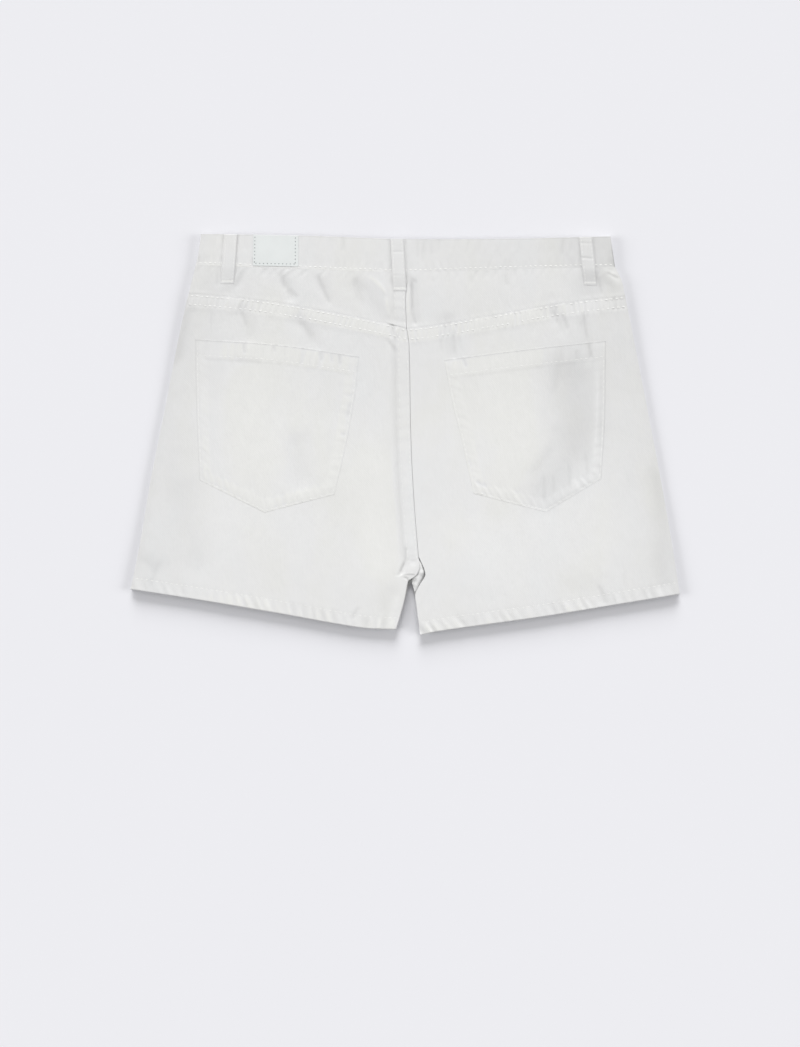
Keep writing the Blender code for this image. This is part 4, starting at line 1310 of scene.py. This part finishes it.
def back_yoke_panels():
    """The two yokes; the left one carries the upper end of the seat ridge."""
    sizes = bpy.context.scene.shorts_sizes
    pitch, height = sizes.grid_pitch, sizes.pucker_height

    def form(ridge, seed):
        def lower(place):
            return back_under(place.x, place.y)

        def level(place):
            return lower(place) + (banded(place.right, RIDGE_WIDTH, RIDGE_WALL) if ridge else CLOTH)

        def relief(place):
            total = puckers(place.left, place.top, 7.0, 0.6 * height, 4.5, 0.3, seed)
            total *= smooth_step(place.top / 2.5)
            total += puckers(place.left, place.bottom, 3.0, 0.4 * height, 3.5, 0.3, seed + 5)
            if ridge:
                total += puckers(place.bottom, place.right, RIDGE_WIDTH, 0.5 * height, 5.0, 0.1, seed + 20)
                total += sum(groove(place.right, inset) for inset in RIDGE_STITCHES)
            return total

        def bends(place):
            return rolled(place.right, RIDGE_WALL, 0.4) if ridge else rolled(place.left, CLOTH, 0.3)

        def tone(place):
            # Painted shade along the yoke's foot with a painted highlight just above it; the yokes are a
            # little darker overall.
            seam = 0.02 * bell(place.bottom, 0.6)
            seam -= 0.02 * bell(place.bottom - 2.6, 1.2)
            return drape_tone(place.x, place.y) - YOKE_TONE - seam

        return Form(lower, level, relief, bends, tone)

    left_edges = left_half(YOKE_SEAM_LEFT, YOKE_CENTRE, WAIST_SEAM_LEFT)
    right_edges = right_half(YOKE_SEAM_RIGHT, YOKE_CENTRE, WAIST_SEAM_RIGHT)
    fine = 0.75 * pitch
    ridge_lines = insets(0.9, 0.0, 0.15, 0.45, 0.9, 1.6, RIDGE_WIDTH, RIDGE_WIDTH + PLY_STEP)
    seam_lines = insets(0.8, CENTRE_GAP, 12.0)
    rows = (insets(fine, SEAM_CLOSE, 0.5, 1.2), insets(fine, SEAM_CLOSE, 1.0))
    side = fold_lines(fine)
    left = Panel("back_yoke_left", left_edges, (side, ridge_lines), rows, form(True, 101), fine)
    right = Panel("back_yoke_right", right_edges, (seam_lines, side), rows, form(False, 133), fine)
    return left, right


class SHORTS_OT_back_yokes(bpy.types.Operator):
    """Add the two yokes between the waistband and the back panels"""

    bl_idname = "shorts.back_yokes"
    bl_label = "Add back yokes"

    def execute(self, context):
        for side, panel in zip(("left", "right"), back_yoke_panels()):
            piece = panel.build(white_denim(), INNER_TONE)
            if side == "left":
                rows = [Row("right", inset, 1.0, 1.0) for inset in RIDGE_STITCHES]
                name = panel.name + "_stitches"
                sew(panel, name, rows, white_thread(), 7, width=FINE_THREAD)
            lay(panel, piece, panel.name)
        return {"FINISHED"}


class SHORTS_OT_back_pockets(bpy.types.Operator):
    """Add the two pointed patch pockets"""

    bl_idname = "shorts.back_pockets"
    bl_label = "Add back pockets"

    def execute(self, context):
        sizes = context.scene.shorts_sizes
        pitch, height = sizes.grid_pitch, sizes.pucker_height

        def form(seed, edge_shades):
            def lower(place):
                laid = back_under(place.x, place.y) + CLOTH + 0.5 * LAID_GAP
                return laid - pocket_sunk(place.x, place.y)

            def level(place):
                edge = nearest(place.left, place.right, place.bottom)
                turned = banded(edge, POCKET_TURN, POCKET_TURN_WALL, POCKET_WALL)
                mouth = banded(place.top, POCKET_MOUTH_DEPTH, POCKET_MOUTH_WALL, POCKET_WALL)
                wall = np.maximum(turned, mouth) - POCKET_SINK
                pressed = POCKET_EDGE_WALL + (wall - POCKET_EDGE_WALL) * smooth_step(edge / 9.0)
                return back_under(place.x, place.y) + CLOTH + 0.5 * LAID_GAP + pressed

            def relief(place):
                edge = nearest(place.left, place.right, place.bottom)
                total = puckers(place.left, place.bottom, 13.0, 1.0 * height, 3.6, 0.3, seed)
                total += puckers(place.bottom, place.left, POCKET_TURN, 0.3 * height, 4.5, 0.3, seed + 1)
                total += puckers(place.bottom, place.right, POCKET_TURN, 0.3 * height, 4.5, -0.3, seed + 2)
                total *= smooth_step(edge / 2.0)
                total += puckers(place.left, place.top, POCKET_MOUTH_DEPTH, 0.7 * height, 4.5, 0.2, seed + 3)
                total += groove(edge, POCKET_STITCH, 0.06) + groove(place.top, MOUTH_STITCH, 0.06)
                return total + CREASE_DEPTH * crease_lift(place.x, place.y, POCKET_CREASES)

            def bends(place):
                edge = nearest(place.left, place.right, place.bottom)
                return rolled(edge, POCKET_EDGE_WALL, 0.5) + rolled(place.top, POCKET_EDGE_WALL, 0.3)

            def tone(place):
                # Painted shadow along the mouth and down the side edges, and painted shade a little above the
                # foot right of x = 128 mm; the turned bands are paler and a line 3.4 mm in from the edges
                # darker.
                mouth = 0.21 * bell(place.top, 0.9)
                for away, edge_shade in ((place.left, edge_shades[0]), (place.right, edge_shades[1])):
                    mouth = mouth + edge_shade * bell(away, 0.8)
                edge = nearest(place.left, place.right, place.bottom)
                turned = BAND_TONE * np.maximum(
                    banded(edge, POCKET_TURN, 1.0, 0.0), banded(place.top, POCKET_MOUTH_DEPTH, 1.0, 0.0)
                )
                stitched = 0.015 * bell(edge - 3.4, 1.0)
                foot_shade = bell(place.bottom - 3.0, 2.6)
                mouth = mouth + 0.04 * foot_shade * smooth_step((place.x - 128.0) / 14.0)
                return drape_tone(place.x, place.y, POCKET_CREASES) + turned - stitched - mouth

            return Form(lower, level, relief, bends, tone)

        turn = band_lines(pitch, POCKET_TURN)
        mouth = band_lines(pitch, POCKET_MOUTH_DEPTH)
        # The last entry of each pocket is its painted edge shade along the left and the right side.
        pockets = (("left", POCKET_LEFT, 201, (0.07, 0.06)), ("right", POCKET_RIGHT, 245, (0.0, 0.13)))
        for side, edges, seed, edge_shades in pockets:
            foot = np.array([(point.x, point.y) for point in edges["bottom"]])
            before, after = np.hypot(*np.diff(foot, axis=0).T)
            via = before / (before + after)
            name = "back_pocket_" + side
            panel = Panel(name, edges, (turn, turn), (turn, mouth), form(seed, edge_shades), pitch, via=via)
            piece = panel.build(white_denim())
            mouth_row = [Row("top", MOUTH_STITCH, 1.5, 1.5)]
            stitches = sew(panel, name + "_mouth_stitches", mouth_row, white_thread(), seed, width=HEM_THREAD)
            rows = [Row(edge, POCKET_STITCH, 1.8, 1.8) for edge in ("left", "bottom", "right")]
            fine_stitches = sew(panel, name + "_stitches", rows, white_thread(), seed + 1, width=FINE_THREAD)
            lay(panel, piece, name)
        return {"FINISHED"}


class SHORTS_OT_back_waistband(bpy.types.Operator):
    """Add the back half of the waistband"""

    bl_idname = "shorts.back_waistband"
    bl_label = "Add back waistband"

    def execute(self, context):
        sizes = context.scene.shorts_sizes
        pitch, height = 0.75 * sizes.grid_pitch, sizes.pucker_height
        edges = {
            "left": side_edge(WAIST_SEAM_LEFT[0], WAIST_TOP[0], "left"),
            "bottom": WAIST_SEAM_LEFT + WAIST_SEAM_RIGHT[1:],
            "right": side_edge(WAIST_SEAM_RIGHT[-1], WAIST_TOP[-1], "right"),
            "top": WAIST_TOP,
        }

        def lower(place):
            return waistband_under(place.x, place.y) + rolled(place.top, WAISTBAND_BACK_WALL, 0.8)

        def level(place):
            return waistband_top(place.x, place.y, place.bottom)

        def relief(place):
            total = puckers(place.left, place.top, 14.0, 0.55 * height, 5.0, 0.1, 301)
            foot = puckers(place.left, place.bottom, 8.0, 0.6 * height, 3.6, 0.3, 311)
            total += foot * smooth_step(place.bottom / 2.5)
            total += CREASE_DEPTH * crease_lift(place.x, place.y, WAISTBAND_CREASES)
            return total + groove(place.bottom, WAIST_STITCH, 0.04)

        def bends(place):
            bent = rolled(place.bottom, WAIST_STEP, 0.9) + rolled(place.top, WAISTBAND_BACK_WALL, 0.07)
            return bent + rolled(nearest(place.left, place.right), WAISTBAND_BACK_WALL, 0.4)

        def tone(place):
            # Painted shade along the top edge and down the right end, where the band turns under; the band is
            # darker overall, more so to the right, its left end and left foot paler and its right end darker.
            right = smooth_step((place.x + 40.0) / 120.0)
            ends = 0.04 * smooth_step((-130.0 - place.x) / 40.0)
            ends -= 0.03 * smooth_step((place.x - 110.0) / 60.0)
            foot = 0.035 * smooth_step(1.0 - place.bottom / 9.0) * (1.0 - right)
            rim = 0.15 * bell(place.top, 0.7) + WAIST_TONE * (0.5 + 0.5 * right)
            rim += 0.3 * bell(place.right, 0.9) * smooth_step((184.0 - place.y) / 12.0)
            return drape_tone(place.x, place.y, WAISTBAND_CREASES) - rim + ends + foot

        lines = fold_lines(pitch)
        form = Form(lower, level, relief, bends, tone)
        panel = Panel("waistband_back", edges, (lines, lines), (lines, lines), form, pitch, grain=90.0)
        piece = panel.build(white_denim(), INNER_TONE)
        rows = [Row("bottom", WAIST_STITCH, 1.5, 1.5)]
        stitches = sew(panel, "waistband_back_stitches", rows, white_thread(), 8)
        lay(panel, piece, panel.name)
        return {"FINISHED"}


def loop_edges(loop):
    half = 0.5 * LOOP_WIDTH
    foot_left, foot_right = Edge(loop.foot_x - half, loop.foot_y), Edge(loop.foot_x + half, loop.foot_y)
    top_left, top_right = Edge(loop.top_x - half, loop.top_y), Edge(loop.top_x + half, loop.top_y)
    return {
        "left": (foot_left, top_left),
        "bottom": (foot_left, foot_right),
        "right": (foot_right, top_right),
        "top": (top_left, top_right),
    }


class SHORTS_OT_belt_loops(bpy.types.Operator):
    """Add the belt loops of back and front"""

    bl_idname = "shorts.belt_loops"
    bl_label = "Add belt loops"

    def execute(self, context):
        for loop in BACK_LOOPS:
            seam = WAIST_SEAM_LEFT if loop.top_x < 0.0 else WAIST_SEAM_RIGHT
            seam_y = float(height_at(seam, loop.top_x))
            beneath = RIDGE_WALL if loop.on_ridge else CLOTH

            def lower(place, seam_y=seam_y, beneath=beneath):
                on_band = waistband_top(place.x, place.y, above_waist_seam(place.x, place.y)) + LAID_GAP
                on_yoke = back_under(place.x, place.y) + beneath + LAID_GAP
                share = smooth_step((seam_y - LOOP_OVERHANG - place.y) / LOOP_DROP)
                return np.maximum(on_yoke, on_band + (on_yoke - on_band) * share)

            self.add_loop("belt_loop_back_" + loop.name, loop, lower, ["waistband_back"])

        def on_surface(place):
            return np.zeros_like(place.x)

        for loop in FRONT_LOOPS:
            rests = ["waistband_front_" + loop.name]
            self.add_loop("belt_loop_front_" + loop.name, loop, on_surface, rests)
        return {"FINISHED"}

    @staticmethod
    def add_loop(name, loop, lower, rests):
        pitch = 0.9

        def level(place):
            return lower(place) + LOOP_WALL - LOOP_PRESS * smooth_step(1.0 - place.bottom / 17.0)

        def relief(place):
            sides = nearest(place.left, place.right)
            pressed = groove(sides, LOOP_STITCH, 0.08, 0.7) + groove(place.bottom, 3.0, 0.08, 0.8)
            return pressed + crease_lift(place.x, place.y, LOOP_CREASES)

        def bends(place):
            edges = rolled(nearest(place.left, place.right, place.bottom), LOOP_WALL, 0.4)
            return edges + rolled(place.top, LOOP_WALL, 0.1)

        def tone(place):
            # Painted shadow along the loop's side edges, deeper on the right; the loops are darker, more so
            # on the right of the garment.
            edge_shade = 0.03 * bell(place.left, 0.8) + 0.17 * bell(place.right, 0.7)
            return -0.5 * WAIST_TONE - 0.04 * smooth_step((place.x - 110.0) / 60.0) - edge_shade

        lines = (0.0, 0.12, 0.35, 0.75, 1.2)
        form = Form(lower, level, relief, bends, tone)
        panel = Panel(name, loop_edges(loop), (lines, lines), (lines, lines), form, pitch)
        piece = panel.build(white_denim())
        rows = [Row(edge, LOOP_STITCH, 4.5, 1.5) for edge in ("left", "right")]
        stitches = sew(panel, name + "_stitches", rows, white_thread(), 9, 2.0, FINE_THREAD, 3.4)
        tack_rows = [Row("bottom", 1.9 + 0.45 * step, 0.9, 0.9) for step in range(4)]
        tack = sew(panel, name + "_bartack", tack_rows, white_thread(), 10, 1.1, 0.4, 1.0)
        lay(panel, piece, name)


class SHORTS_OT_waist_patch(bpy.types.Operator):
    """Add the bare patch on the back waistband"""

    bl_idname = "shorts.waist_patch"
    bl_label = "Add waist patch"

    def execute(self, context):
        def lower(place):
            return waistband_top(place.x, place.y, above_waist_seam(place.x, place.y)) + LAID_GAP

        def level(place):
            return lower(place) + PATCH_WALL

        def relief(place):
            sides = groove(place.left, 1.5, 0.03, 0.6) + groove(place.right, 2.8, 0.03, 0.6)
            return sides + groove(place.bottom, 2.4, 0.03, 0.6)

        def bends(place):
            edges = rolled(nearest(place.left, place.right, place.bottom), PATCH_WALL, 0.2)
            return edges + rolled(place.top, PATCH_WALL, 0.1)

        lines = (0.0, 0.1, 0.3, 0.6, 1.0, 1.5, 2.0, 2.4, 2.8, 3.2)
        form = Form(lower, level, relief, bends)
        panel = Panel("waist_patch", PATCH, (lines, lines), (lines, lines), form, 0.9)
        piece = panel.build(pressed_patch())
        columns = [Row("left", 1.5, 2.0, 0.5), Row("right", 2.8, 2.0, 0.5)]
        stitches = sew(panel, "waist_patch_side_stitches", columns, patch_thread(), 12, 1.3, 0.95, 3.0)
        bottom = [Row("bottom", 2.4, 1.0, 2.0)]
        foot_stitches = sew(panel, "waist_patch_foot_stitches", bottom, patch_thread(), 13, 1.2, 0.95, 3.4)
        lay(panel, piece, panel.name)
        return {"FINISHED"}


def plain_form(thickness, lower):
    """The form of a plain piece: one thickness over its lower face, with soft edges."""

    def level(place):
        return lower(place) + thickness

    def bends(place):
        edge = nearest(place.left, place.right, place.bottom, place.top)
        return rolled(edge, thickness)

    return Form(lower, level, no_relief, bends)


class SHORTS_OT_front_legs(bpy.types.Operator):
    """Add the two plain front panels and the fly's underlap, which lie below the back"""

    bl_idname = "shorts.front_legs"
    bl_label = "Add front legs"

    def execute(self, context):
        pitch = context.scene.shorts_sizes.plain_pitch

        def lower(place):
            return front_under(place.x, place.y)

        def level(place):
            return lower(place) + banded(place.bottom, HEM_DEPTH, HEM_WALL)

        def relief(place):
            return groove(place.bottom, HEM_STITCH) + crease_lift(place.x, place.y, FRONT_CREASES)

        def bends(place):
            return rolled(place.bottom, HEM_WALL)

        def tone(place):
            # Takes back the painted highlight that the raised crotch layers would get, and paints shade round
            # the crotch.
            lifted = RELIEF_TONE * crease_lift(place.x, place.y, FRONT_CREASES)
            return -lifted - 0.03 * near_crotch(place.x, place.y)

        form = Form(lower, level, relief, bends, tone)
        left_edges = left_half(HEM_LEFT, FRONT_INSEAM_LEFT + FRONT_CENTRE, FRONT_WAIST_SEAM_LEFT)
        right_edges = right_half(HEM_RIGHT, FRONT_INSEAM_RIGHT + FRONT_CENTRE, FRONT_WAIST_SEAM_RIGHT)
        rows = (band_lines(pitch, HEM_DEPTH) + insets(0.9, 40.0, 66.0), (SEAM_GAP, 1.5))
        seam = insets(0.8, SEAM_GAP, 16.0)
        middle = insets(1.2, 0.0, 9.0)
        for name, edges, columns in (
            ("front_leg_left", left_edges, ((FRONT_INSET, 1.5), middle)),
            ("front_leg_right", right_edges, (seam, (FRONT_INSET, 1.5))),
        ):
            panel = Panel(name, edges, columns, rows, form, pitch)
            piece = panel.build(white_denim())
            hem = [Row("bottom", HEM_STITCH, 2.0, 2.0)]
            stitches = sew(panel, name + "_stitches", hem, white_thread(), 14)
            lay(panel, piece, name)

        def flap_lower(place):
            return front_under(place.x, place.y) + CLOTH + SEAM_GAP

        lines = fold_lines(2.0)
        flap_form = plain_form(CLOTH, flap_lower)
        panel = Panel("fly_flap", FLY_FLAP, (lines, lines), (lines, lines), flap_form, 2.0)
        lay(panel, panel.build(white_denim()), "fly_flap")
        return {"FINISHED"}


class SHORTS_OT_front_waistbands(bpy.types.Operator):
    """Add the front halves of the waistband"""

    bl_idname = "shorts.front_waistbands"
    bl_label = "Add front waistbands"

    def execute(self, context):
        def lower(place):
            return np.full_like(place.x, WAIST_REST)

        fronts = (
            ("left", FRONT_WAIST_SEAM_LEFT, FRONT_WAIST_TOP_LEFT, FRONT_INSET, 0.0),
            ("right", FRONT_WAIST_SEAM_RIGHT, FRONT_WAIST_TOP_RIGHT, SEAM_GAP, FRONT_INSET),
        )
        pitch = 2.0
        form = plain_form(WAISTBAND_FRONT_WALL, lower)
        for side, seam, top, inset_left, inset_right in fronts:
            edges = {"left": (seam[0], top[0]), "bottom": seam, "right": (seam[-1], top[-1]), "top": top}
            columns = (fold_lines(pitch, inset_left), fold_lines(pitch, inset_right))
            lines = fold_lines(pitch)
            name = "waistband_front_" + side
            panel = Panel(name, edges, columns, (lines, lines), form, pitch, grain=90.0)
            piece = panel.build(white_denim())
            rows = [Row("bottom", WAIST_STITCH, 2.0, 2.0), Row("top", WAIST_STITCH, 2.0, 2.0)]
            stitches = sew(panel, name + "_stitches", rows, white_thread(), 15)
            lay(panel, piece, name)
        return {"FINISHED"}


class SHORTS_OT_waist_button(bpy.types.Operator):
    """Add the turned waist button under the front waistband's end"""

    bl_idname = "shorts.waist_button"
    bl_label = "Add waist button"

    def execute(self, context):
        radius, height = BUTTON_RADIUS * MM, BUTTON_HEIGHT * MM
        # From the top centre outwards, round the rim, and back over the dished face to its raised middle.
        profile = (
            (0.0, height),
            (0.58 * radius, height),
            (0.9 * radius, 0.8 * height),
            (0.975 * radius, 0.6 * height),
            (radius, 0.38 * height),
            (0.985 * radius, 0.15 * height),
            (0.94 * radius, 0.02 * height),
            (0.86 * radius, 0.0),
            (0.8 * radius, 0.05 * height),
            (0.74 * radius, 0.2 * height),
            (0.6 * radius, 0.26 * height),
            (0.3 * radius, 0.2 * height),
            (0.0, 0.18 * height),
        )
        turned = bmesh.new()
        points = [turned.verts.new((x, 0.0, z)) for x, z in profile]
        for before, after in zip(points, points[1:]):
            turned.edges.new((before, after))
        bmesh.ops.spin(
            turned, geom=turned.verts[:] + turned.edges[:], axis=(0.0, 0.0, 1.0), cent=(0.0, 0.0, 0.0),
            angle=2.0 * math.pi, steps=BUTTON_STEPS, use_merge=True,
        )
        bmesh.ops.remove_doubles(turned, verts=turned.verts[:], dist=0.000002)
        bmesh.ops.recalc_face_normals(turned, faces=turned.faces[:])
        bmesh.ops.translate(turned, verts=turned.verts[:], vec=(BUTTON_X * MM, BUTTON_Y * MM, 0.0))
        mesh = bpy.data.meshes.new("waist_button_turned")
        turned.to_mesh(mesh)
        turned.free()
        button = add_piece("waist_button_turned", mesh, button_metal())
        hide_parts("waist_button")
        return {"FINISHED"}


# The photograph's frame on the garment's plane, in millimetres, and the long lens that sees it from above.
VIEW_X = -5.2
VIEW_Y = -84.8
VIEW_HEIGHT = 994.65
LENS = 100.0
SENSOR = 36.0
CLOTH_PLANE = 6.0
FLOOR_REACH = 12.0


class SHORTS_OT_stage(bpy.types.Operator):
    """Add the pale floor, the soft lights and the camera"""

    bl_idname = "shorts.stage"
    bl_label = "Add stage"

    def execute(self, context):
        scene, stage = context.scene, context.scene.shorts_stage
        ground = bmesh.new()
        bmesh.ops.create_grid(ground, x_segments=8, y_segments=8, size=FLOOR_REACH)
        mesh = bpy.data.meshes.new("floor")
        ground.to_mesh(mesh)
        ground.free()
        material, tree, shader = new_material("pale_floor")
        tone = noise(tree, object_place(tree), 3.0, 2.0)
        mottle(tree, shader, tone, scene.shorts_colours.floor, 0.995, 0.3)
        shader.inputs["Roughness"].default_value = 1.0
        shader.inputs["Specular IOR Level"].default_value = 0.0
        mesh.materials.append(material)
        floor = bpy.data.objects.new("floor", mesh)
        scene.collection.objects.link(floor)

        world = bpy.data.worlds.new("studio")
        world.use_nodes = True
        fill = world.node_tree.nodes["Background"]
        fill.inputs["Color"].default_value = (1.0, 1.0, 1.0, 1.0)
        fill.inputs["Strength"].default_value = stage.fill
        scene.world = world

        tilt = 0.5 * math.pi - stage.key_elevation
        side_tilt = 0.5 * math.pi - stage.side_elevation
        lights = (
            ("key", stage.key_strength, (-tilt, 0.0, stage.key_turn)),
            ("left_side", stage.side_strength, (0.0, -side_tilt, 0.0)),
            ("right_side", stage.side_strength, (0.0, side_tilt, 0.0)),
        )
        for name, strength, turn in lights:
            light = bpy.data.lights.new(name, "SUN")
            light.energy = strength
            light.angle = stage.key_softness
            light_object = bpy.data.objects.new(name, light)
            light_object.rotation_euler = turn
            scene.collection.objects.link(light_object)

        camera = bpy.data.cameras.new("camera")
        camera.lens = LENS
        camera.sensor_width = SENSOR
        camera_object = bpy.data.objects.new("camera", camera)
        distance = VIEW_HEIGHT * LENS / SENSOR
        camera_object.location = (VIEW_X * MM, VIEW_Y * MM, (distance + CLOTH_PLANE) * MM)
        scene.collection.objects.link(camera_object)
        scene.camera = camera_object
        scene.view_settings.view_transform = "Standard"
        return {"FINISHED"}


class SHORTS_PT_panel(bpy.types.Panel):
    """Lists the pieces of the shorts"""

    bl_label = "White denim shorts"
    bl_idname = "SHORTS_PT_panel"
    bl_space_type = "VIEW_3D"
    bl_region_type = "UI"
    bl_category = "Shorts"

    def draw(self, context):
        for group in ("shorts_sizes", "shorts_colours", "shorts_stage"):
            settings = getattr(context.scene, group)
            for name in settings.bl_rna.properties.keys():
                if name not in ("rna_type", "name"):
                    self.layout.prop(settings, name)
        for operator in OPERATORS:
            self.layout.operator(operator.bl_idname)


GROUPS = (("shorts_sizes", ShortsSizes), ("shorts_colours", ShortsColours), ("shorts_stage", ShortsStage))
OPERATORS = (
    SHORTS_OT_front_legs,
    SHORTS_OT_front_waistbands,
    SHORTS_OT_waist_button,
    SHORTS_OT_back_legs,
    SHORTS_OT_back_yokes,
    SHORTS_OT_back_pockets,
    SHORTS_OT_back_waistband,
    SHORTS_OT_waist_patch,
    SHORTS_OT_belt_loops,
    SHORTS_OT_stage,
)


def register():
    for name, group in GROUPS:
        bpy.utils.register_class(group)
        setattr(bpy.types.Scene, name, bpy.props.PointerProperty(type=group))
    for made in (*OPERATORS, SHORTS_PT_panel):
        bpy.utils.register_class(made)


def unregister():
    for made in (SHORTS_PT_panel, *reversed(OPERATORS)):
        bpy.utils.unregister_class(made)
    for name, group in reversed(GROUPS):
        delattr(bpy.types.Scene, name)
        bpy.utils.unregister_class(group)


def main():
    register()
    for operator in OPERATORS:
        family, name = operator.bl_idname.split(".")
        getattr(getattr(bpy.ops, family), name)()


if __name__ == "__main__":
    main()
